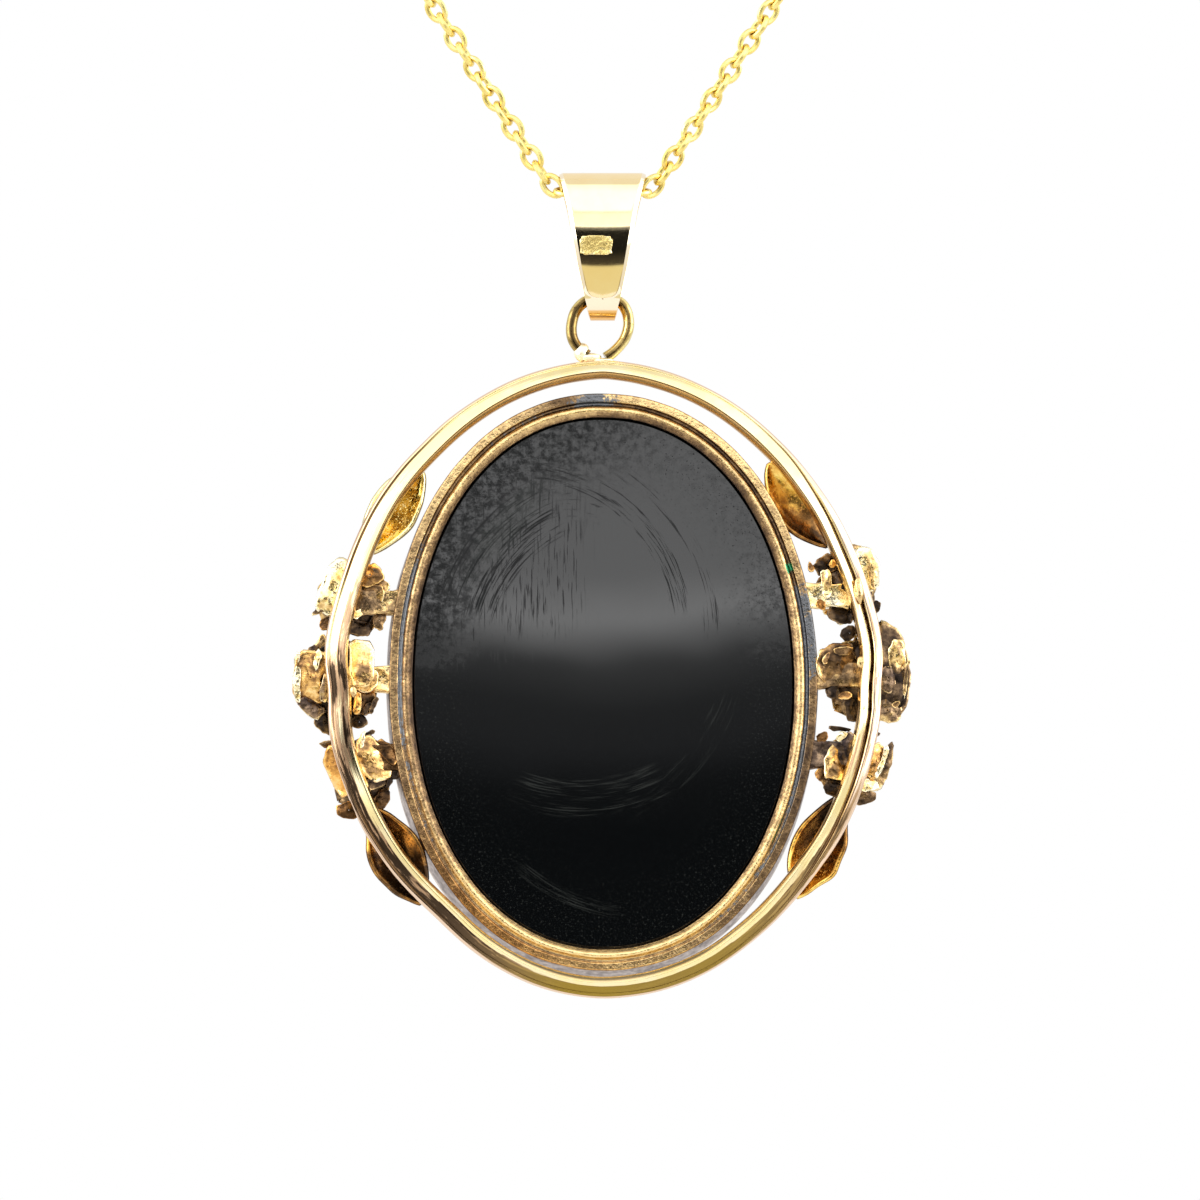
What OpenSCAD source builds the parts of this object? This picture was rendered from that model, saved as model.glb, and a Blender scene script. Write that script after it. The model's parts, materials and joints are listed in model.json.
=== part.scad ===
// Agate pendant on a trace chain, stored hanging free.
// The origin is the underside of the clasp, where the loop rests on the nape; +Z is up and
// the pendant's plain back, with the flat side of the stone, looks towards -Y.

/* [Chain] */
// Thickness of the trace chain, as the plain tube that it fills
chain_d = 1.44; // [1.2:0.02:1.44]
// Drop from the clasp's underside to the chain's line through the bail
chain_drop = 156; // [156:1:156]

/* [Clasp] */
// Outer diameter of the ring clasp
clasp_d = 5.5; // [4.5:0.1:5.5]
// Thickness of the clasp's wire
clasp_wire = 1.0; // [0.7:0.05:1.2]

/* [Bail] */
// Radius of the strip's outer face round the chain
bail_top_r = 1.9; // [1.85:0.05:2.1]
// Radius of the strip's outer face round the hanging ring
bail_foot_r = 1.4; // [1.3:0.05:1.5]
// Inner radius of the lower fold
bail_foot_bore_r = 0.78; // [0.78:0.01:0.82]
// Thickness of the strip at the top
bail_strip = 0.5; // [0.4:0.05:0.5]
// Radius of the slight crown of its two faces
bail_side_r = 17; // [15:1:40]
// Height of the bail's top over the chain's line
bail_rise = 1.32; // [1.32:0.01:1.4]
// Drop from the chain's line to the wire of the hanging ring
ring_drop = 7.1; // [6.8:0.1:7.4]

/* [Hanging ring] */
// Outer diameter of the hanging ring
ring_d = 4.7; // [4.68:0.02:4.72]
// Thickness of its wire
ring_wire = 0.74; // [0.66:0.02:0.74]
// Radius of the solder that closes the ring on the band
solder_r = 0.62; // [0.5:0.02:0.8]

/* [Oval] */
// Drop from the wire of the hanging ring to the middle of the oval
oval_drop = 25.6; // [25.6:0.1:25.7]
// Lean of the pendant about that wire, at which its forward weight hangs balanced
hang_lean = 4.5; // [0:0.5:6]

/* [Outer band] */
// Width of the band over its outer edge
band_w = 37.0; // [36.7:0.1:37.2]
// Height of the band over its outer edge
band_h = 42.8; // [42.6:0.1:42.8]
// Depth of the band from back to front
band_depth = 1.3; // [1.1:0.1:1.5]
// Width of the bar at the sides
band_bar_side = 1.55; // [1.3:0.05:1.7]
// Width of the bar at the top
band_bar_top = 1.25; // [1:0.05:1.3]
// Width of the bar at the bottom
band_bar_bottom = 1.4; // [1.1:0.1:1.5]

/* [Bezel] */
// Width of the bezel over its wall
bezel_w = 28.8; // [28.6:0.1:29.2]
// Height of the bezel over its wall
bezel_h = 38.4; // [38.3:0.1:38.6]
// Distance of the bezel's back edge in front of the band's middle
bezel_back = 0.45; // [0.4:0.05:0.5]
// Depth of the bezel's wall
bezel_depth = 3.35; // [3.35:0.05:3.6]
// Width of the rounded lip round the stone's back
lip_w = 0.6; // [0.5:0.05:0.7]
// Width of the groove outside the lip
groove_w = 0.25; // [0.2:0.05:0.3]
// Depth of that groove
groove_depth = 0.3; // [0.2:0.05:0.4]

/* [Stone] */
// Width of the stone at its girdle
stone_w = 25.9; // [25.7:0.1:26]
// Height of the stone at its girdle
stone_h = 36.3; // [36.1:0.1:36.4]
// Thickness of the stone in the middle
stone_t = 4.0; // [3.6:0.1:4.4]
// Clearance all round the stone
stone_gap = 0.1; // [0.06:0.01:0.12]
// How far the bezel's lip and rim reach over the stone's edge
stone_hold = 0.35; // [0.3:0.01:0.4]
// How far the stone sits below the oval's middle
stone_drop = 0.25; // [0:0.05:0.3]

/* [Roses and leaves] */
// Depth of a rose from its back to the top of its bud
rose_depth = 3.9; // [3:0.1:4.5]
// Thickness of a leaf
leaf_t = 0.7; // [0.5:0.1:0.9]

/* [Hidden] */

gold = [0.86, 0.68, 0.33];
tarnished_gold = [0.62, 0.47, 0.24];
black_agate = [0.07, 0.08, 0.09];

// Right half of the chain's line, each row [across, height over the line through the bail]
CHAIN_HALF = [
    [0, 0], [1.4, 0], [2.7, 0], [3.1, 0.1], [3.4, 0.35], [3.7, 0.75], [4.2, 1.5],
    [9.7, 10], [22.7, 30], [35.7, 50], [48.4, 69.5], [51.5, 74.8], [53.9, 80.3],
    [55.8, 86.1], [57, 92], [57.7, 98], [57.7, 104], [57, 110], [55.8, 115.9],
    [53.9, 121.7], [51.5, 127.2], [48.4, 132.5], [44.9, 137.3], [40.8, 141.8],
    [36.3, 145.9], [31.5, 149.4], [26.2, 152.5], [20.7, 154.9], [15, 156.8],
    [9, 158], [4.5, 158.6], [2.85, 158.75]
];
chain_sides = 8;
arc_steps = 20;
side_steps = 10;

// Half width of the bail's strip, each row [height over the chain's line, half width]
BAIL_SIDE = [[1.5, 2.95], [-1.2, 2.32], [-5.1, 1.64], [-7.3, 1.17], [-8.8, 0.75]];
bail_blank = 8;

// Roses, each row [across, height over the oval's middle, width, height, turn, height of its tab]
ROSES = [
    [-16.7, 5.4, 5.3, 5.2, 10, 5.2],
    [-17.6, 0.1, 6.4, 7.4, 50, 0.1],
    [-15.9, -6.1, 5.0, 6.0, 20, -5.1],
    [16.4, 6.2, 4.9, 5.2, 35, 5.7],
    [17.5, 0.4, 6.0, 7.1, 5, 0.4],
    [16.6, -5.8, 5.2, 5.2, 60, -4.9]
];
rose_back = 0.45;
petals = 5;
petal_steps = 6;
// Form of a rose, each row [share of its radius, share of its depth, how deep the petals are cut]
ROSE_FORM = [
    [0.22, 1, 0], [0.5, 0.86, 0.04], [0.78, 0.74, 0.08], [1, 0.5, 0.16],
    [0.94, 0.36, 0.14], [0.6, 0.1, 0.05], [0.25, 0, 0]
];
tab_w = 1.6;
tab_t = 0.75;
tab_back = 0.1;
tab_sunk = 0.5;

// Leaves, each row [inner tip across, its height over the oval's middle, outer tip across, its height]
LEAVES = [
    [-11.9, 14.2, -15.7, 8.3],
    [11.1, 14.6, 15, 9],
    [-12.1, -14.8, -15.5, -8.2],
    [12.7, -14.4, 15.8, -7.6]
];
leaf_w = 3.5;
leaf_back = 0.35;
leaf_steps = 8;
leaf_tip = 0.15;
// Section of a leaf, each row [share of its half width, share of its bow, share of its thickness]
LEAF_SECTION = [[1, 0.2, 0], [0, 1, 0.2], [-1, 0.2, 0], [-1, 0.2, 0.6], [0, 1, 1], [1, 0.2, 0.6]];

// Bar of the band, each row [share of the bar's width from its inner edge, share of its half depth]
BAND_SECTION = [
    [0, -0.35], [0.12, -0.8], [0.38, -1], [0.6, -0.85], [0.68, -0.55], [0.78, -0.75], [0.93, -0.6],
    [1, -0.2], [1, 0.5], [0.85, 1], [0.15, 1], [0, 0.5]
];
// Powers of the ovals: below 2 an oval is leaner than an ellipse, above 2 squarer
band_power = 1.9;
bezel_power = 2.1;
oval_steps = 72;

// Form of the stone, each row [share of the girdle, inset from it, share of the thickness]
STONE_FORM = [
    [1, stone_hold, 0], [1, stone_hold, 0.12], [1, 0, 0.14], [1, 0, 0.66], [1, 0.5, 0.7],
    [0.85, 0.4, 0.82], [0.6, 0, 0.93], [0.3, 0, 0.99], [0.05, 0, 1]
];
// Shares of the stone's thickness between which its girdle lies
girdle_from = 0.13;
girdle_to = 0.69;
stone_back = 0.6;

clasp_z = clasp_d / 2;
ring_r = (ring_d - ring_wire) / 2;
solder_drop = 2 * ring_r + 0.3;
girdle_back = stone_back + stone_t * girdle_from;
girdle_front = stone_back + stone_t * girdle_to;

function mix(a, b, share) = a + (b - a) * share;

function mirrored(row) = [-row[0], row[1]];

// Whole chain line from the clasp's left side, through the bail, to its right side
function chain_line() =
    let (last = len(CHAIN_HALF) - 1)
    concat(
        [for (i = [last : -1 : 1]) mirrored(CHAIN_HALF[i])],
        [for (row = CHAIN_HALF) row]
    );

// Faces of a closed skin over rings of the same number of points, with a flat cap at each end
function skin_faces(rings, sides) = concat(
    [[for (i = [0 : sides - 1]) i]],
    [for (r = [0 : rings - 2], i = [0 : sides - 1])
        [r * sides + i, (r + 1) * sides + i, (r + 1) * sides + (i + 1) % sides]],
    [for (r = [0 : rings - 2], i = [0 : sides - 1])
        [r * sides + i, (r + 1) * sides + (i + 1) % sides, r * sides + (i + 1) % sides]],
    [[for (i = [sides - 1 : -1 : 0]) (rings - 1) * sides + i]]
);

// Faces of a ring-shaped skin, whose last section joins the first
function loop_faces(sections, sides) = concat(
    [for (s = [0 : sections - 1], i = [0 : sides - 1])
        [s * sides + i, ((s + 1) % sections) * sides + i,
         ((s + 1) % sections) * sides + (i + 1) % sides]],
    [for (s = [0 : sections - 1], i = [0 : sides - 1])
        [s * sides + i, ((s + 1) % sections) * sides + (i + 1) % sides,
         s * sides + (i + 1) % sides]]
);

function signed_power(value, power) = sign(value) * pow(abs(value), power);

function oval_point(width, height, turn, power) =
    [width / 2 * signed_power(cos(turn), 2 / power), height / 2 * signed_power(sin(turn), 2 / power)];

// Unit direction out of an oval at one of its points
function oval_out(width, height, turn, power) =
    let (
        bend = 2 - 2 / power,
        out = [signed_power(cos(turn), bend) / width, signed_power(sin(turn), bend) / height]
    )
    out / norm(out);

function oval(width, height, power) =
    [for (i = [0 : oval_steps - 1]) oval_point(width, height, 360 * i / oval_steps, power)];

// Direction of the chain's line at one of its points, along the chord of its neighbours
function line_way(line, i) =
    let (
        ahead = line[min(i + 1, len(line) - 1)],
        behind = line[max(i - 1, 0)],
        way = ahead - behind
    )
    way / norm(way);

module chain() {
    line = chain_line();
    points = [
        for (i = [0 : len(line) - 1], k = [0 : chain_sides - 1])
            let (
                way = line_way(line, i),
                turn = 360 * (k + 0.5) / chain_sides,
                out = chain_d / 2 * cos(turn)
            )
            [line[i][0] - way[1] * out, chain_d / 2 * sin(turn), line[i][1] + way[0] * out - chain_drop]
    ];
    color(gold) polyhedron(points, skin_faces(len(line), chain_sides));
}

module clasp() {
    color(gold)
        translate([0, 0, clasp_z])
            rotate([90, 0, 0])
                rotate_extrude($fn = 48)
                    translate([(clasp_d - clasp_wire) / 2, 0]) circle(d = clasp_wire, $fn = 24);
}

function arc_points(middle, radius, from, to, steps) =
    [for (i = [0 : steps - 1])
        let (turn = mix(from, to, i / steps))
        middle + radius * [cos(turn), sin(turn)]];

// Side outline of the bail: a fold round the chain, one round the hanging ring and two crowned faces
function bail_outline(top_r, foot_r, side_r) =
    let (
        top_z = bail_rise - bail_top_r,
        gap = ring_drop + top_z,
        drop = (pow(side_r - top_r, 2) - pow(side_r - foot_r, 2) + gap * gap) / (2 * gap),
        reach = sqrt(pow(side_r - top_r, 2) - drop * drop),
        at_top = atan2(drop, reach),
        at_foot = atan2(drop - gap, reach)
    )
    concat(
        arc_points([0, top_z], top_r, at_top, 180 - at_top, arc_steps),
        arc_points([reach, top_z - drop], side_r, 180 - at_top, 180 - at_foot, side_steps),
        arc_points([0, -ring_drop], foot_r, 180 - at_foot, 360 + at_foot, arc_steps),
        arc_points([-reach, top_z - drop], side_r, at_foot, at_top, side_steps)
    );

module bail() {
    right_side = [for (row = BAIL_SIDE) [row[1], row[0]]];
    left_side = [for (i = [len(BAIL_SIDE) - 1 : -1 : 0]) [-BAIL_SIDE[i][1], BAIL_SIDE[i][0]]];
    color(gold)
        translate([0, 0, -chain_drop])
            intersection() {
                rotate([90, 0, 90])
                    linear_extrude(height = bail_blank, center = true)
                        difference() {
                            polygon(bail_outline(bail_top_r, bail_foot_r, bail_side_r));
                            polygon(bail_outline(bail_top_r - bail_strip, bail_foot_bore_r,
                                                 bail_side_r - bail_strip));
                        }
                rotate([90, 0, 0])
                    linear_extrude(height = bail_blank, center = true)
                        polygon(concat(right_side, left_side));
            }
}

// Places the pendant's pieces, made upright below the ring's wire, as the pendant hangs
module hung() {
    translate([0, 0, -chain_drop - ring_drop])
        rotate([-hang_lean, 0, 0])
            children();
}

module hanging_ring() {
    translate([0, 0, -ring_r])
        rotate([90, 0, 0])
            rotate_extrude($fn = 48)
                translate([ring_r, 0]) circle(d = ring_wire, $fn = 24);
    translate([0, 0, -solder_drop])
        sphere(solder_r, $fn = 32);
}

function band_bar(turn) =
    let (end_bar = sin(turn) > 0 ? band_bar_top : band_bar_bottom)
    mix(end_bar, band_bar_side, cos(turn) * cos(turn));

module outer_band() {
    sides = len(BAND_SECTION);
    points = [
        for (s = [0 : oval_steps - 1], row = BAND_SECTION)
            let (
                turn = 360 * s / oval_steps,
                inset = (1 - row[0]) * band_bar(turn),
                flat = oval_point(band_w, band_h, turn, band_power)
                    - inset * oval_out(band_w, band_h, turn, band_power)
            )
            [flat[0], row[1] * band_depth / 2, flat[1]]
    ];
    polyhedron(points, loop_faces(oval_steps, sides));
}

// An upright oval plate that reaches from one depth to another, grown by a margin all round
module oval_plate(width, height, margin, from, to) {
    translate([0, to, 0])
        rotate([90, 0, 0])
            linear_extrude(height = to - from)
                polygon(oval(width + 2 * margin, height + 2 * margin, bezel_power));
}

module bezel() {
    front = bezel_back + bezel_depth;
    opening = stone_gap - stone_hold;
    lip = opening + lip_w;
    difference() {
        oval_plate(bezel_w, bezel_h, 0, bezel_back, front);
        translate([0, 0, -stone_drop]) {
            oval_plate(stone_w, stone_h, opening, bezel_back - 1, front + 1);
            oval_plate(stone_w, stone_h, stone_gap, girdle_back - stone_gap, girdle_front + stone_gap);
            difference() {
                oval_plate(stone_w, stone_h, lip + groove_w, bezel_back - 1, bezel_back + groove_depth);
                oval_plate(stone_w, stone_h, lip, bezel_back - 2, bezel_back + 1);
            }
        }
    }
}

module rose(width, height, turn) {
    sides = petals * petal_steps;
    points = [
        for (row = ROSE_FORM, i = [0 : sides - 1])
            let (
                angle = 360 * i / sides,
                notch = 1 - row[2] * pow(abs(sin(petals * (angle - turn) / 2)), 3)
            )
            [width / 2 * row[0] * notch * cos(angle),
             row[1] * rose_depth,
             height / 2 * row[0] * notch * sin(angle)]
    ];
    polyhedron(points, skin_faces(len(ROSE_FORM), sides));
}

// A pointed leaf along X from its inner tip, hollow towards the back
module leaf(length) {
    points = [
        for (s = [0 : leaf_steps], row = LEAF_SECTION)
            let (
                share = s / leaf_steps,
                half = max(leaf_tip, leaf_w / 2 * sin(180 * pow(share, 0.9))),
                bow = leaf_t * sin(180 * share)
            )
            [length * share, row[1] * bow + row[2] * leaf_t, row[0] * half]
    ];
    polyhedron(points, skin_faces(leaf_steps + 1, len(LEAF_SECTION)));
}

module tab(row) {
    reach = bezel_w / 2 * sqrt(1 - pow(2 * row[5] / bezel_h, 2)) - tab_sunk;
    side = sign(row[0]);
    length = abs(row[0]) - reach;
    translate([side * (reach + length / 2), bezel_back + tab_back + tab_t / 2, row[5]])
        cube([length, tab_t, tab_w], center = true);
}

module setting() {
    color(tarnished_gold)
        hung() {
            hanging_ring();
            translate([0, 0, -oval_drop]) {
                outer_band();
                bezel();
                for (row = ROSES) {
                    tab(row);
                    translate([row[0], rose_back, row[1]]) rose(row[2], row[3], row[4]);
                }
                for (row = LEAVES)
                    translate([row[0], leaf_back, row[1]])
                        rotate([0, -atan2(row[3] - row[1], row[2] - row[0]), 0])
                            leaf(norm([row[2] - row[0], row[3] - row[1]]));
            }
        }
}

module stone() {
    points = [
        for (row = STONE_FORM, i = [0 : oval_steps - 1])
            let (flat = oval_point(stone_w * row[0] - 2 * row[1], stone_h * row[0] - 2 * row[1],
                                   360 * i / oval_steps, bezel_power))
            [flat[0], stone_back + row[2] * stone_t, flat[1] - oval_drop - stone_drop]
    ];
    color(black_agate) hung() polyhedron(points, skin_faces(len(STONE_FORM), oval_steps));
}

chain();
clasp();
bail();
setting();
stone();
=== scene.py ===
"""Agate pendant on a trace chain, seen from its back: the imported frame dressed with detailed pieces."""
import json
import math
import random

import bmesh
import bpy
import numpy as np
from mathutils import Matrix, Vector, noise


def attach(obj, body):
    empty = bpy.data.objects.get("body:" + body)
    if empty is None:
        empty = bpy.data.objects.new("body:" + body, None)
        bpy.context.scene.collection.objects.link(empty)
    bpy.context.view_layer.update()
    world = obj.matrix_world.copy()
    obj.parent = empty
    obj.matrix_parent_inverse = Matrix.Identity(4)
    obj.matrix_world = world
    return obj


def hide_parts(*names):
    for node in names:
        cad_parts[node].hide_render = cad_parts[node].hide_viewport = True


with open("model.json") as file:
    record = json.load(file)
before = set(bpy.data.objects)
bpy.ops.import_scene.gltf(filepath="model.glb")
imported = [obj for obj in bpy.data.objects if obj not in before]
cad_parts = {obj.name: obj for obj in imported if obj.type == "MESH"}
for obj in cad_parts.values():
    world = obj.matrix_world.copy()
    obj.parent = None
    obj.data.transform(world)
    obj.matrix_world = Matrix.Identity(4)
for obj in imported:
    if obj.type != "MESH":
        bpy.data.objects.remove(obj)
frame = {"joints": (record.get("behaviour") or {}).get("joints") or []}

# Without a fixed start, the uneven surfaces would be drawn anew on each run
noise.seed_set(1)

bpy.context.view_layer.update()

MM = 0.001
HINGES = {joint["name"]: Vector(joint["pos_m"]) / MM for joint in frame["joints"]}
CHAIN_LINE_Z = HINGES["bail_swing"].z
RING_WIRE_Z = HINGES["pendant_swing"].z
HANG_LEAN = math.radians(4.5)
# Body, slot and replaced node of each piece of the setting
SETTING = ("pendant", "setting_gold", "setting")

# Sizes in millimetres, most of them as in the part's source
# Half of the chain's loop, across and up from the bail to the clasp
CHAIN_HALF = [
    (0, 0), (1.4, 0), (2.7, 0), (3.1, 0.1), (3.4, 0.35), (3.7, 0.75), (4.2, 1.5),
    (9.7, 10), (22.7, 30), (35.7, 50), (48.4, 69.5), (51.5, 74.8), (53.9, 80.3),
    (55.8, 86.1), (57, 92), (57.7, 98), (57.7, 104), (57, 110), (55.8, 115.9),
    (53.9, 121.7), (51.5, 127.2), (48.4, 132.5), (44.9, 137.3), (40.8, 141.8),
    (36.3, 145.9), (31.5, 149.4), (26.2, 152.5), (20.7, 154.9), (15, 156.8),
    (9, 158), (4.5, 158.6), (2.85, 158.75),
]
LINK_WIDTH = 1.5
LINK_WIRE = 0.4
LINKS_A_SIDE = 175
# Length that the links leave free at the clasp, and the turn of each link in degrees with its play
CHAIN_SPARE = 0.4
LINK_TURN = 24
LINK_PLAY = 8
# Links that hold the clasp: pitch, width and wire, and how far their middle lies outside its wire's
END_LINK = (1.55, 2.06, 0.36)
END_LINK_OUT = 0.245
CLASP_D = 5.5
CLASP_WIRE = 1.0
BAIL_TOP_R = 1.8
BAIL_FOOT_R = 1.55
BAIL_FOOT_BORE_R = 1.0
BAIL_STRIP = 0.5
BAIL_TOP_STRIP = 0.3
BAIL_SIDE_R = 17.0
BAIL_BEVEL = 0.24
BAIL_TURN = math.radians(-3)
# Heights where a thin dark line starts along the edges of the bail's face, where the face ends and where the
# underside's tan painted reflection starts, and how long the face's round end is
BAIL_DARK_LINE_START = -5.2
BAIL_FACE_END = -7.2
BAIL_UNDERSIDE = -8.0
BAIL_END_ROUND = 1.0
# Top of the bail over the chain's line, middle of its lower fold below that line, half width at each height
BAIL_RISE = 1.32
RING_DROP = 7.1
BAIL_SIDE = [(1.5, 2.95), (-1.2, 2.32), (-5.1, 1.64), (-7.3, 1.17), (-8.8, 0.75)]
RING_WIRE = 0.74
# How far the oval's middle hangs below the ring's wire
OVAL_DROP = 25.6
BAND_W = 37.0
BAND_H = 42.5
BAND_RAISED = 0.15
BAND_POWER = 1.9
BAND_DEPTH = 1.3
BAND_BAR_SIDE = 1.55
BAND_BAR_TOP = 1.25
BAND_BAR_BOTTOM = 1.4
BEZEL_W = 28.8
BEZEL_H = 38.4
BEZEL_BACK = 0.45
BEZEL_POWER = 2.1
STONE_W = 25.9
STONE_H = 36.3
STONE_HOLD = 0.35
STONE_DROP = 0.25
# How much shorter the stone's back is at its foot, and the opening round it, and how deep that back goes
STONE_SHORT = 0.3
STONE_BACK_SHARE = 0.13
STONE_T = 4.0
STONE_BACK = 0.6
ROSE_BACK = 0.45
ROSE_DEPTH = 3.9
# Each rose: across, height over the oval's middle, width, height, turn in degrees, height of its tab
ROSES = {
    "rose_left_top": (-16.7, 5.4, 5.3, 5.2, 10, 5.2),
    "rose_left_middle": (-17.6, 0.1, 6.4, 7.4, 50, 0.1),
    "rose_left_bottom": (-15.9, -6.1, 5.0, 6.0, 20, -5.1),
    "rose_right_top": (16.4, 6.2, 4.9, 5.2, 35, 5.7),
    "rose_right_middle": (17.5, 0.4, 6.0, 7.1, 5, 0.4),
    "rose_right_bottom": (16.6, -5.8, 5.2, 5.2, 60, -4.9),
}
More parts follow.
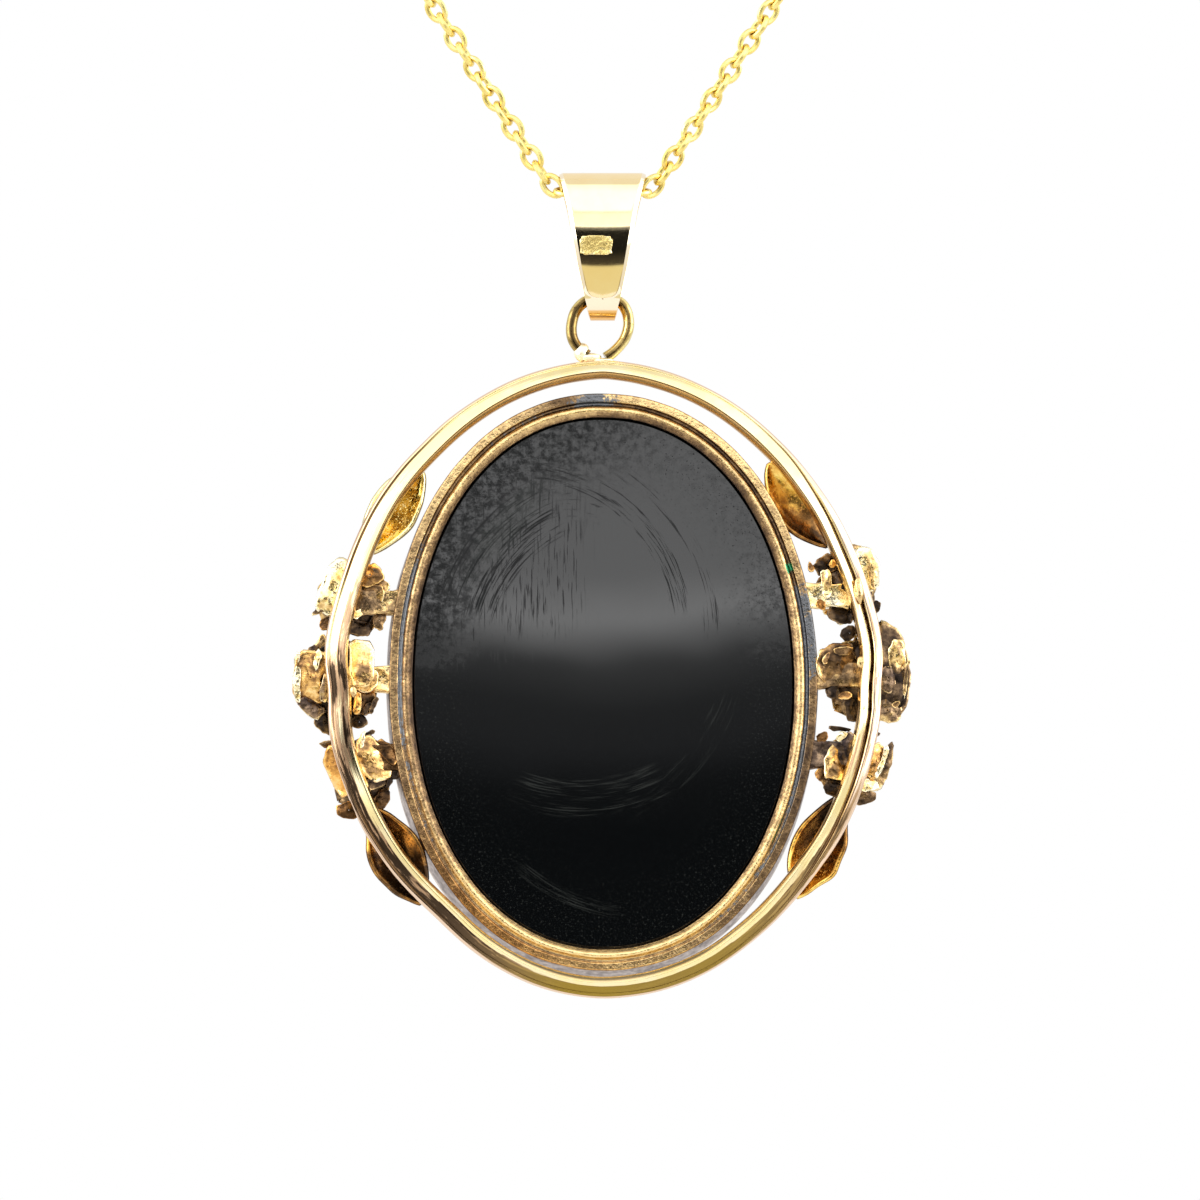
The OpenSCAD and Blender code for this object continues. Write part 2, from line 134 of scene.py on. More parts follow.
# Plates of each rose's back: across and height of its middle, direction in degrees, half length, half width,
# squareness, taper to its start, depth, tone from pale to black, warmth from grey to amber
BACK_PLATES = {
    "rose_left_top": [
        (-17.8, 6.1, 66, 2.0, 1.0, 3, 0.3, 0.0, 0.08, 0),
        (-18.9, 4.6, 227, 0.55, 0.22, 2, -0.6, 0.25, 0.3, 0),
        (-18.3, 3.8, 0, 0.5, 0.45, 2.5, 0, 0.4, 0.66, 0.6),
        (-15.5, 6.95, 20, 0.85, 0.7, 3, 0, 0.1, 0.34, 0.5),
        (-14.95, 7.15, -35, 0.42, 0.12, 2, -0.5, 0.05, 0.8, 0),
        (-14.75, 6.4, -40, 0.65, 0.35, 3, 0, 0.2, 0.45, 0.3),
        (-15.6, 5.5, 80, 1.0, 1.0, 4, 0, 0.25, 0.42, 0.3),
        (-16.2, 4.4, 30, 0.45, 0.25, 2, 0, 0.05, 0.15, 0.3),
        (-14.8, 3.95, 80, 0.65, 0.38, 2.5, 0.2, 0.35, 0.72, 0.2),
        (-16.2, 3.5, 170, 0.75, 0.55, 4, 0, 0.4, 0.85, 0.2),
    ],
    "rose_left_middle": [
        (-19.4, 0.15, 90, 1.75, 1.15, 4.5, 0, 0.0, 0.25, 0.5),
        (-19.0, 1.3, 75, 0.7, 0.25, 3, 0, -0.1, 0.05, 0), (-20.3, 0.2, 90, 1.6, 0.2, 4, 0, -0.06, 0.02, 0),
        (-18.5, -0.6, 85, 0.9, 0.28, 3, 0, -0.04, 0.5, -0.4),
        (-19.3, -1.9, -35, 0.9, 0.5, 4, 0, 0.25, 0.5, -0.5),
        (-18.4, -2.9, -40, 0.8, 0.62, 2.5, 0, 0.45, 0.88, 0),
        (-18.8, 2.5, 50, 0.6, 0.3, 4, 0, 0.3, 0.45, 0),
        (-19.2, 2.2, 200, 0.35, 0.16, 2, -0.4, 0.35, 0.5, -0.3),
        (-16.05, 1.1, 92, 1.6, 0.8, 4, 0, 0.0, 0.18, 0.3),
        (-15.7, 0.0, 90, 0.75, 0.7, 3, 0, -0.05, 0.34, 0.45),
        (-16.0, -1.4, 75, 0.85, 0.9, 3, 0, 0.25, 0.6, 0.5),
        (-16.3, -1.6, 90, 0.75, 0.22, 2.5, 0, 0.0, 0.2, 0.9),
        (-15.3, -1.7, 65, 0.6, 0.18, 2.5, 0, 0.05, 0.72, 0),
        (-15.7, -1.9, 65, 0.5, 0.15, 2.5, 0, 0.1, 0.8, 0),
        (-16.2, -2.8, 20, 0.5, 0.42, 2.5, 0, 0.4, 0.85, 0),
    ],
    "rose_left_bottom": [
        (-18.4, -4.2, 175, 0.45, 0.18, 2, -0.5, 0.3, 0.5, 0),
        (-17.3, -6.1, -67, 1.75, 0.95, 2.6, -0.1, 0.0, 0.34, 0.8),
        (-15.3, -5.3, -62, 1.6, 0.9, 3, 0, 0.0, 0.3, 0.4),
        (-16.0, -4.0, 75, 0.5, 0.22, 2.5, 0, -0.05, 0.1, 0),
        (-15.6, -3.6, 15, 0.45, 0.16, 2.5, 0, 0.2, 0.85, 0),
        (-14.4, -4.8, -45, 0.95, 0.5, 4, 0, 0.1, 0.6, 0.6),
        (-14.0, -6.1, -70, 0.5, 0.42, 3, 0, 0.35, 0.95, 0),
        (-14.2, -6.9, 262, 0.4, 0.13, 2, -0.6, 0.3, 0.8, 0),
        (-15.1, -6.8, 10, 0.6, 0.4, 3, 0, 0.2, 0.6, -0.3),
        (-14.7, -7.85, 65, 0.72, 0.42, 2.5, 0, 0.35, 0.78, 0.5),
        (-16.85, -8.6, 8, 0.8, 0.6, 2.6, 0, 0.3, 0.72, 0.7),
    ],
    "rose_right_top": [
        (14.9, 7.8, 35, 0.8, 0.62, 3, 0, 0.2, 0.75, 0.2),
        (15.3, 7.9, 40, 0.28, 0.2, 2.5, 0, 0.05, 0.3, 0.9),
        (13.9, 7.7, 110, 0.32, 0.14, 2, -0.5, 0.1, 0.6, 0.6),
        (14.9, 6.5, 95, 1.0, 0.4, 3, 0, 0.05, 0.33, 0), (15.8, 6.1, 90, 1.25, 0.8, 3, 0, 0.25, 0.88, -0.3),
        (14.55, 5.0, -65, 0.45, 0.25, 2, -0.4, 0.15, 0.5, 0.9),
        (15.85, 4.4, -15, 0.88, 0.55, 2.5, 0.1, 0.35, 0.92, 0.1),
        (17.6, 7.4, 100, 1.55, 0.8, 2.6, 0.15, 0.0, 0.14, 0.1),
        (17.9, 7.2, 95, 1.1, 0.2, 2.5, 0, -0.05, 0.5, 0.3),
        (16.9, 9.0, 15, 0.38, 0.15, 2, -0.3, 0.2, 0.35, 0),
        (18.3, 5.0, 65, 0.45, 0.26, 2.5, 0, 0.3, 0.85, 0),
    ],
    "rose_right_middle": [
        (16.4, 3.15, 45, 0.55, 0.5, 2.5, 0, 0.35, 0.85, 0),
        (15.6, 1.05, 90, 1.4, 1.35, 3, 0, 0.05, 0.56, 0.35),
        (15.9, 2.0, 15, 0.6, 0.3, 2.5, 0, -0.1, 0.42, 0.3),
        (14.8, 1.5, 60, 0.4, 0.25, 2.5, 0, -0.08, 0.52, 0.3),
        (15.2, -0.6, 80, 0.5, 0.42, 2.5, 0, 0.2, 0.82, 0.1),
        (16.1, -1.05, 10, 0.4, 0.24, 2.5, 0, 0.05, 0.46, 0.6),
        (16.5, -1.9, 100, 0.75, 0.5, 3, 0, 0.3, 0.88, 0),
        (18.9, 0.5, 89, 3.4, 1.5, 2.2, 0, 0.0, 0.5, -0.25),
        (19.6, 1.2, 96, 1.5, 0.6, 2.1, 0.3, -0.06, 0.4, 0),
        (18.9, 0.1, 95, 0.9, 0.6, 2.3, 0, -0.1, 0.56, -0.4),
        (20.2, 0.2, 85, 1.3, 0.12, 2.2, 0, -0.04, 0.25, 0),
        (18.9, -1.9, 80, 1.0, 0.9, 2.3, 0, -0.04, 0.54, -0.3),
        (19.9, -1.35, 60, 0.5, 0.2, 2, 0, 0.05, 0.85, 0),
        (19.45, -1.6, 50, 0.3, 0.18, 2, 0, -0.02, 0.15, 0.3),
    ],
    "rose_right_bottom": [
        (15.7, -3.2, 0, 0.75, 0.15, 2.5, 0, 0.2, 0.75, 0),
        (14.5, -3.8, 20, 0.42, 0.3, 2.5, 0, 0.2, 0.68, 0.7),
        (15.8, -3.7, 45, 0.38, 0.2, 2.5, 0, -0.05, 0.08, 0),
        (15.4, -5.5, 80, 1.2, 0.75, 3, 0, 0.0, 0.42, 0.3),
        (16.1, -4.5, 75, 1.1, 0.42, 3, 0, 0.05, 0.6, -0.6),
        (14.4, -6.3, -80, 0.5, 0.28, 2, -0.4, 0.2, 0.62, 0.7),
        (15.4, -7.2, -20, 0.8, 0.5, 2.5, 0, 0.3, 0.85, 0),
        (18.0, -5.4, 72, 1.15, 0.5, 2.6, 0, 0.05, 0.26, 0.6),
        (18.5, -5.4, 70, 1.2, 0.2, 2.2, 0, -0.05, 0.0, 0),
        (18.8, -5.5, 75, 1.5, 0.32, 2.2, 0, 0.1, 0.52, 0),
        (17.6, -7.0, 10, 0.6, 0.36, 2.6, 0, 0.0, 0.1, 0),
        (17.3, -7.8, 15, 0.68, 0.35, 2.5, 0, 0.2, 0.68, 0.2),
        (18.2, -3.6, 0, 0.2, 0.15, 2, 0, 0.1, 0.8, 0),
    ],
}
# Each leaf: inner tip across, its height over the oval's middle, outer tip across, its height, width,
# tone at its inner tip and at its outer one
LEAVES = {
    "leaf_left_top": (-12.1, 14.15, -16.0, 8.2, 3.2, 0.12, 0.06),
    "leaf_right_top": (11.1, 14.6, 15, 9, 3.5, 0.35, 0.78),
    "leaf_left_bottom": (-12.1, -14.8, -15.5, -8.2, 3.5, 0.85, 0.66),
    "leaf_right_bottom": (12.7, -14.4, 15.8, -7.6, 3.5, 0.42, 0.85),
}
LEAF_BACK = 0.45


def turned(along, side, angle, x=0.0, z=0.0):
    """Coordinates of points that lie along a direction and beside it, from a place."""
    turn_cos = math.cos(angle)
    turn_sin = math.sin(angle)
    return x + along * turn_cos - side * turn_sin, z + along * turn_sin + side * turn_cos


def hung(points):
    """Pendant points in millimetres from the hanging ring's wire, as they hang, in metres."""
    x, y, z = np.moveaxis(np.asarray(points, float), -1, 0)
    up, depth = turned(z, y, HANG_LEAN)
    return np.stack([x, depth, up + RING_WIRE_Z], -1) * MM


def oval_placed(points):
    """Pendant points in millimetres from the oval's middle, as they hang, in metres."""
    return hung(np.asarray(points, float) - (0, 0, OVAL_DROP))


def below_chain(points):
    """Points in millimetres from the chain's line through the bail, in metres."""
    return (np.asarray(points, float) + (0, 0, CHAIN_LINE_Z)) * MM


def turned_bail(points):
    """Bail points in millimetres from the chain's line, turned a little about the upright, in metres."""
    x, y, z = np.moveaxis(np.asarray(points, float), -1, 0)
    return below_chain(np.stack([*turned(x, y, BAIL_TURN), z], -1))


class Piece:
    """Gathers vertices, faces and marks of wear, and makes one mesh object of them."""

    def __init__(self, name):
        self.name = name
        self.points = []
        self.faces = []
        self.lay = []
        self.marks = {"wear": [], "tone": [], "film": [], "warm": []}

    def loft(self, rows, wrap_rows=False, wrap_sides=True, caps=False, **marks):
        """Skins a grid of points, rows by sides, in metres, with marks a point, a side or for all."""
        rows = np.asarray(rows, float)
        count, sides = rows.shape[:2]
        first = len(self.points)
        self.points.extend(rows.reshape(-1, 3).tolist())
        for name, values in self.marks.items():
            values.extend(np.broadcast_to(marks.get(name, 0.0), (count, sides)).reshape(-1).tolist())
        along = self.steps(rows.mean(1))
        across = self.steps(rows[0])
        for r in range(count if wrap_rows else count - 1):
            after = (r + 1) % count
            for s in range(sides if wrap_sides else sides - 1):
                beside = (s + 1) % sides
                self.faces.append((first + r * sides + s, first + after * sides + s,
                                   first + after * sides + beside, first + r * sides + beside))
                self.lay.append([(along[r], across[s]), (along[r + 1], across[s]),
                                 (along[r + 1], across[s + 1]), (along[r], across[s + 1])])
        if caps:
            for r in (0, count - 1):
                self.faces.append(tuple(first + r * sides + s for s in range(sides)))
                self.lay.append([(along[r], across[s]) for s in range(sides)])

    @staticmethod
    def steps(line):
        """Way along a line to each of its points and back to its first, in millimetres."""
        closed = np.vstack([line, line[:1]])
        return np.concatenate([[0], np.cumsum(np.linalg.norm(np.diff(closed, axis=0), axis=1))]) / MM

    def finish(self, material, body, slot, replaced, crease=40, thickness=0, rounds=0):
        """Makes the mesh object, with sharp edges past an angle in degrees and a thickness, if any."""
        mesh = bpy.data.meshes.new(self.name)
        mesh.from_pydata(self.points, [], self.faces)
        layer = mesh.uv_layers.new(name="lay")
        corners = np.array([uv for face in self.lay for uv in face], np.float32)
        layer.data.foreach_set("uv", corners.reshape(-1))
        for name, values in self.marks.items():
            mark = mesh.attributes.new(name, "FLOAT", "POINT")
            mark.data.foreach_set("value", np.array(values, np.float32))
        if not thickness:
            shape = bmesh.new()
            shape.from_mesh(mesh)
            bmesh.ops.recalc_face_normals(shape, faces=shape.faces)
            shape.to_mesh(mesh)
            shape.free()
        mesh.shade_smooth()
        mesh.set_sharp_from_angle(angle=math.radians(crease))
        mesh.materials.append(material)
        piece = bpy.data.objects.new(self.name, mesh)
        bpy.context.scene.collection.objects.link(piece)
        if thickness:
            solid = piece.modifiers.new("thickness", "SOLIDIFY")
            solid.thickness = thickness * MM
            solid.offset = 0
        if rounds:
            rounding = piece.modifiers.new("rounding", "SUBSURF")
            rounding.levels = rounds
            rounding.render_levels = rounds
        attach(piece, body)
        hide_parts(replaced)


def circle(count):
    """Angles all round, in even steps."""
    return np.linspace(0, 2 * math.pi, count, endpoint=False)


def between(a, b, c, d, share):
    """Point at a share of the way from b to c on a Catmull-Rom curve."""
    return 0.5 * (2 * b + (c - a) * share + (2 * a - 5 * b + 4 * c - d) * share ** 2
                  + (3 * b - a - 3 * c + d) * share ** 3)


def smooth_loop(points, count):
    """A closed smooth curve of count points through the given ones."""
    points = np.asarray(points, float)
    made = []
    for place in np.arange(count) * len(points) / count:
        k = int(place)
        corners = (points[(k + j) % len(points)] for j in (-1, 0, 1, 2))
        made.append(between(*corners, place - k))
    return np.array(made)


def smooth_line(points, count):
    """An open smooth curve of count points through the given ones."""
    points = np.asarray(points, float)
    padded = np.vstack([2 * points[0] - points[1], points, 2 * points[-1] - points[-2]])
    made = []
    for place in np.linspace(0, len(points) - 1, count):
        k = min(int(place), len(points) - 2)
        made.append(between(*padded[k:k + 4], place - k))
    return np.array(made)


def oval(width, height, turns, power=2.0):
    """Points of an oval that is a little squarer or leaner than an ellipse, by its power."""
    across, up = np.cos(turns), np.sin(turns)
    return np.stack([width / 2 * np.sign(across) * np.abs(across) ** (2 / power),
                     height / 2 * np.sign(up) * np.abs(up) ** (2 / power)], -1)


def right_of(way):
    """Unit directions to the right of the given ones, in their plane."""
    right = np.stack([way[:, 1], -way[:, 0]], -1)
    return right / np.linalg.norm(right, axis=-1, keepdims=True)


def outward(edge):
    """Unit directions out of a closed loop of points in its own plane."""
    return right_of(np.roll(edge, -1, 0) - np.roll(edge, 1, 0))


def at_depth(flat, depth):
    """Points across and up, each given a depth."""
    return np.stack([flat[..., 0], np.broadcast_to(depth, flat.shape[:-1]), flat[..., 1]], -1)


def wire_round(line, right, wire, sides):
    """Points round a wire that follows a line: two coordinates in the line's plane, and one out of it."""
    points = np.zeros((len(line), len(sides), 3))
    points[..., :2] = line[:, None] + right[:, None] * (wire / 2 * np.cos(sides))[:, None]
    points[..., 2] = wire / 2 * np.sin(sides)
    return points


def rough(points, scale, amount, seed=0.0):
    """Smooth uneven shifts of points in millimetres, at a number of bumps a millimetre."""
    flat = np.asarray(points, float).reshape(-1, 3)
    shifts = [noise.noise_vector(Vector(p) * scale + Vector((seed, seed * 0.7, -seed))) for p in flat]
    return (flat + np.array(shifts) * amount).reshape(np.shape(points))


class Value:
    """One output of a node. Sums and products of values become further nodes of the same tree."""

    def __init__(self, nodes, socket):
        self.nodes = nodes
        self.socket = socket

    def __add__(self, other):
        return self.nodes.compute("ADD", self, other)

    def __sub__(self, other):
        return self.nodes.compute("SUBTRACT", self, other)

    def __rsub__(self, other):
        return self.nodes.compute("SUBTRACT", other, self)

    def __mul__(self, other):
        return self.nodes.compute("MULTIPLY", self, other)

    def __truediv__(self, other):
        return self.nodes.compute("DIVIDE", self, other)

    def __abs__(self):
        return self.nodes.compute("ABSOLUTE", self)


class Nodes:
    """A node tree, with short calls for the nodes that the finishes and the studio share."""

    def __init__(self, tree):
        self.tree = tree

    def node(self, kind, values=None, output=0, **settings):
        """Adds a node, joins or sets its inputs, and gives one of its outputs, if it has any."""
        made = self.tree.nodes.new("ShaderNode" + kind)
        for name, value in settings.items():
            setattr(made, name, value)
        for name, value in (values or {}).items():
            self.join(made.inputs[name], value)
        return Value(self, made.outputs[output]) if made.outputs else None

    def join(self, socket, value):
        if isinstance(value, Value):
            self.tree.links.new(value.socket, socket)
        elif socket.type == "RGBA":
            socket.default_value = (*value, 1)
        else:
            socket.default_value = value

    def compute(self, how, a, b=0.0, clamp=False):
        return self.node("Math", {0: a, 1: b}, operation=how, use_clamp=clamp)

    def most(self, first, *others):
        """The greatest of several values."""
        for other in others:
            first = self.compute("MAXIMUM", first, other)
        return first

    def parts(self, vector):
        split = self.node("SeparateXYZ", {0: vector}).socket.node
        return [Value(self, output) for output in split.outputs]

    def fade(self, value, start, end, low=0.0, high=1.0):
        """Takes a value from low to high as it goes from start to end."""
        values = {0: value, 1: start, 2: end, 3: low, 4: high}
        return self.node("MapRange", values, interpolation_type="SMOOTHSTEP")

    def blend(self, share, a, b):
        return self.node("Mix", {0: share, 6: a, 7: b}, 2, data_type="RGBA")

    def tint(self, share, colour, tint):
        """Multiplies a colour by a tint, by a share."""
        return self.node("Mix", {0: share, 6: colour, 7: tint}, 2, data_type="RGBA", blend_type="MULTIPLY")

    def ramp(self, value, stops):
        """Colour at a value, from stops that are each a place and a colour."""
        made = self.node("ValToRGB", {"Fac": value})
        points = made.socket.node.color_ramp.elements
        while len(points) < len(stops):
            points.new(0.5)
        for point, (place, colour) in zip(points, stops):
            point.position = place
            point.color = (*colour, 1)
        return made


class Finish(Nodes):
    """A material's node tree, with the places and marks that its surface is worked out from."""

    def __init__(self, name):
        self.material = bpy.data.materials.new(name)
        self.material.use_nodes = True
        super().__init__(self.material.node_tree)
        self.shader = self.tree.nodes["Principled BSDF"]

    def place(self, stretch=(1, 1, 1)):
        """Place on the piece in millimetres, stretched."""
        where = self.node("TexCoord", output="Object")
        return self.node("Mapping", {"Vector": where, "Scale": tuple(s / MM for s in stretch)})

    def lay(self, stretch=(1, 1, 1), turn=0.0):
        """Place along and across a swept piece in millimetres, stretched, and turned in degrees."""
        where = self.node("UVMap", uv_map="lay")
        rotation = (0, 0, math.radians(turn))
        return self.node("Mapping", {"Vector": where, "Rotation": rotation, "Scale": stretch})

    def noise(self, where, scale, detail=4.0, roughness=0.6):
        values = {"Vector": where, "Scale": scale, "Detail": detail, "Roughness": roughness}
        return self.node("TexNoise", values, "Fac")

    def mark(self, name):
        return self.node("Attribute", output="Fac", attribute_name=name)

    def bump(self, height, distance, strength=1.0):
        values = {"Height": height, "Distance": distance * MM, "Strength": strength}
        self.join(self.shader.inputs["Normal"], self.node("Bump", values))

    def set(self, **values):
        names = {"colour": "Base Color", "metal": "Metallic", "rough": "Roughness",
                 "shine": "Specular IOR Level"}
        for name, value in values.items():
            self.join(self.shader.inputs[names.get(name, name)], value)
        return self.material


# Colour of a thin dark line along the edges of the bail's face
DARK_LINE = (0.16, 0.10, 0.03)


def polished_gold(name, pale, deep, sheen=0.12, scuff=0.1, dents=0.4, wide=1.6, rim=None, under=None):
    """Bright worn gold: two tones in clouds, fine scuffs, small dents, a rim tone, painted shade and painted
    bounce light by the tone mark, a dark line.
    """
    finish = Finish(name)
    where = finish.place()
    clouds = finish.fade(finish.noise(where, 0.6), 0.35, 0.65)
    scuffs = finish.fade(finish.noise(finish.place((1, 1, 5)), 3.0, 8.0), 0.45, 0.75)
    finish.bump(finish.noise(where, wide, 1.5), 0.03, dents)
    colour = finish.blend(clouds, deep, pale)
    if rim:
        colour = finish.blend(finish.mark("wear"), colour, rim)
    if under:
        colour = finish.blend(finish.mark("tone"), colour, under)
        colour = finish.blend(finish.mark("film"), colour, DARK_LINE)
    return finish.set(colour=colour, metal=1.0, rough=finish.fade(scuffs, 0.0, 1.0, sheen, sheen + scuff))


def drawn_gold(name):
    """The band's gold: draw lines along the bar, tan painted shade on the inner bevel, a pinkish outer rim,
    stains and painted shade, dirt.
    """
    finish = Finish(name)
    lines = finish.noise(finish.lay((0.1, 6, 1)), 2.0, 5.0)
    clouds = finish.fade(finish.noise(finish.place(), 0.3), 0.4, 0.62)
    colour = finish.blend(clouds, (0.97, 0.82, 0.42), (0.98, 0.86, 0.54))
    # tan painted shade on the inner bevel
    painted_bevel_shade = finish.mark("tone")
    colour = finish.blend(painted_bevel_shade, colour, (0.60, 0.35, 0.12))
    pink = finish.fade(finish.mark("wear"), 0.3, 0.8)
    colour = finish.blend(pink, colour, (0.84, 0.64, 0.48))
    streaks = finish.noise(finish.lay((0.22, 3.2, 1)), 1.6, 5.0, 0.65)
    # stains, with painted shade where the lower half would mirror dark surroundings
    stain_and_shade = finish.mark("film") * finish.fade(streaks, 0.38, 0.62, 0.42, 1.25)
    olive = finish.mark("warm")
    stained_and_shaded = finish.fade(stain_and_shade, 0.2, 0.5)
    colour = finish.blend(stained_and_shaded, colour, finish.blend(olive, (0.42, 0.27, 0.16), (0.34, 0.23, 0.04)))
    black = finish.fade(stain_and_shade, 0.66, 1.0) * finish.compute("SUBTRACT", 1.0, olive, clamp=True)
    colour = finish.blend(black, colour, (0.04, 0.026, 0.016))
    hairs = finish.fade(finish.noise(finish.lay((0.09, 9, 1)), 1.0, 3.0), 0.58, 0.7)
    across = finish.parts(finish.place())[0]
    at_sides = finish.fade(finish.fade(abs(across), 9.0, 15.0), 0, 1, 0.1, 0.8)
    colour = finish.tint(hairs * at_sides, colour, (0.62, 0.44, 0.30))
    dirt = finish.fade(finish.mark("wear"), -0.15, -0.7)
    colour = finish.blend(dirt, colour, (0.22, 0.125, 0.055))
    finish.bump(lines, 0.02, 0.35)
    roughness = finish.fade(lines, 0.4, 0.7, 0.06, 0.16) + stained_and_shaded * 0.15
    return finish.set(colour=colour, metal=1.0, rough=roughness)


def aged_gold(name, stops, spread=1.0, grain=1.0, film=None, matt=(0.18, 0.42), fineness=1.0, pits=0.2):
    """Old gold by its tone from pale to black: uneven, pitted, rubbed at edges, with a tarnish film."""
    finish = Finish(name)
    where = finish.place()
    wide = finish.fade(finish.noise(where, 0.6 * fineness, 3.0), 0.3, 0.7, -0.5, 0.5)
    fine = finish.fade(finish.noise(where, 2.6 * fineness, 4.0, 0.55), 0.3, 0.7, -0.5, 0.5)
    specks = finish.fade(finish.noise(where, 9.0 * fineness, 2.0), 0.58, 0.72)
    age = finish.mark("tone") + wide * (0.4 * spread) + fine * (0.3 * spread) + specks * pits
    age = finish.compute("SUBTRACT", age, finish.mark("wear") * 0.26, clamp=True)
    colour = finish.ramp(age, stops)
    warm = finish.mark("warm")
    colour = finish.tint(finish.fade(warm, 0.0, 1.0), colour, (1.0, 0.70, 0.38))
    colour = finish.tint(finish.fade(warm, 0.0, -1.0), colour, (0.74, 0.84, 1.45))
    if film:
        shaken = finish.mark("film") + (fine + wide) * 0.5
        colour = finish.blend(finish.fade(shaken, 0.45, 0.75), colour, film)
        green = finish.fade(shaken, -0.45, -0.85)
        colour = finish.blend(green, colour, (0.05, 0.26, 0.13))
    finish.bump(wide + fine * 0.5 - specks * 0.6, 0.05 * grain, 0.8)
    return finish.set(colour=colour, metal=1.0, rough=finish.fade(age, 0.15, 0.8, *matt))


# Swirls of fine scratches on the stone's back: centre across and up, least and greatest radius,
# first and last angle, how dense, how strong
STONE_SWIRLS = [
    (1.5, 2.0, 8.6, 13.6, 112, 170, 0.47, 1.0), (-5.5, 3.5, 10.0, 11.6, 2, 96, 0.49, 0.9),
    (-5.5, 3.5, 12.0, 13.4, -8, 66, 0.52, 0.8), (-2.0, 6.0, 4.6, 8.8, 62, 132, 0.52, 0.7),
    (-1.6, 4.2, 10.4, 13.2, 246, 300, 0.51, 0.6), (-4.5, 3.6, 12.6, 14.4, 290, 344, 0.55, 0.5),
    (3.0, -2.0, 12.8, 13.8, 228, 262, 0.47, 0.65),
]


def swirl(finish, x, z, row):
    """Mask of many thin broken scratches along arcs round one centre."""
    centre_x, centre_z, least, most, first, last, dense, strong = row
    off_x = x - centre_x
    off_z = z - centre_z
    radius = finish.node("VectorMath", {0: finish.node("CombineXYZ", {0: off_x, 1: off_z})}, "Value",
                         operation="LENGTH")
    middle = math.radians((first + last) / 2)
    reach = math.radians(last - first) / 2
    facing = off_x * math.cos(middle) + off_z * math.sin(middle)
    beside = off_z * math.cos(middle) - off_x * math.sin(middle)
    angle = finish.compute("ARCTAN2", beside, facing)
    polar = finish.node("CombineXYZ", {0: radius * 9.5, 1: angle * 4.0, 2: centre_x})
    lines = finish.fade(finish.noise(polar, 1.0, 3.0), dense, dense + 0.16)
    across = abs(radius - (least + most) / 2)
    within = finish.fade(across, (most - least) / 2, (most - least) * 0.35)
    return lines * (finish.fade(abs(angle), reach, reach * 0.7) * within) * strong


# Where the stone's back is most worn by strokes: middle across and up, and how far it reaches
STONE_WORN = (-4.4, 9.3)
STONE_WORN_REACH = (3.6, 6.5)


def strokes(finish, turn, start):
    """Mask of many short soft strokes that lie along one direction, turned from upright in degrees."""
    return finish.fade(finish.noise(finish.lay((7.0, 0.4, 1), turn), 1.0, 2.5), start, start + 0.12)


def black_agate(name):
    """Polished black stone: dull speckled edge, dark strokes and swirls above, a few pale ones below."""
    finish = Finish(name)
    lay = finish.lay()
    x, z, _ = finish.parts(lay)
    swirls = finish.most(0.0, *(swirl(finish, x, z, row) for row in STONE_SWIRLS))
    edge_x = x / (STONE_W / 2)
    edge_z = z / (STONE_H / 2)
    out = edge_x * edge_x + edge_z * edge_z
    upper_left = finish.fade(edge_z * 0.7 - edge_x, 0.0, 1.0)
    worn_x = (x - STONE_WORN[0]) / STONE_WORN_REACH[0]
    worn_z = (z - STONE_WORN[1]) / STONE_WORN_REACH[1]
    worn = finish.fade(worn_x * worn_x + worn_z * worn_z, 1.6, 0.2, 0.12, 1.0)
    drawn = finish.most(strokes(finish, 3, 0.53) * worn, strokes(finish, 38, 0.55) * upper_left)
    rim = finish.fade(out, 0.25, 0.9) * finish.fade(upper_left, 0, 1, 0.4, 1.0)
    dull = rim * finish.fade(finish.noise(lay, 1.7, 8.0, 0.8), 0.66, 0.36)
    specks = finish.fade(finish.noise(lay, 6.5, 3.0, 0.7), 0.58, 0.68)
    specks = specks * finish.fade(out, 0.35, 0.85, 0.15, 1.0)
    above = finish.fade(z, 0.0, 2.5)
    on_back = 1.0 - finish.mark("tone")
    dark = finish.most(swirls * 0.8, drawn * 0.6, dull * 0.95, specks) * above * on_back
    pale = finish.most(swirls * 0.55, specks * 0.45) * (1.0 - above) * on_back
    sway = finish.noise(lay, 0.12, 1.0) * 0.35
    smile = x * x * z * 0.0013
    finish.bump(sway + smile, 0.012, 1.0)
    return finish.set(colour=finish.blend(pale, (0.0015, 0.0019, 0.0022), (0.05, 0.054, 0.05)),
                      rough=finish.fade(dark, 0.0, 1.0, 0.025, 0.3),
                      shine=finish.fade(dark, 0.0, 1.0, 0.5, 0.14), metal=0.0, IOR=1.73)


def pale_floor(name):
    finish = Finish(name)
    grain = finish.noise(finish.place(), 0.02, 3.0)
    return finish.set(colour=finish.blend(grain, (0.66, 0.65, 0.63), (0.72, 0.71, 0.70)), rough=0.7)


def link_template(pitch, width, wire, around=22):
    """One oval link: its points along, across and out of its plane, and its painted shade where the next
    ones touch it.
    """
    turns = circle(around)
    sides = circle(8)
    centre = oval(pitch + wire, width - wire, turns)
    contact_shade = np.cos(turns)[:, None] ** 4 * np.clip(0.5 - np.cos(sides), 0, 1)
    return wire_round(centre, outward(centre), wire, sides), contact_shade


def link_joints():
    """Where each link hangs in the next, from the bail to the clasp, and their pitch along the line."""
    line = np.array(CHAIN_HALF, float)
    steps = np.linalg.norm(np.diff(line, axis=0), axis=1)
    pitch = (steps.sum() - CHAIN_SPARE) / (LINKS_A_SIDE + 0.5)
    way = np.concatenate([[0], np.cumsum(steps)])
    places = (np.arange(LINKS_A_SIDE + 1) + 0.5) * pitch
    return np.stack([np.interp(places, way, line[:, 0]), np.interp(places, way, line[:, 1])], -1), pitch


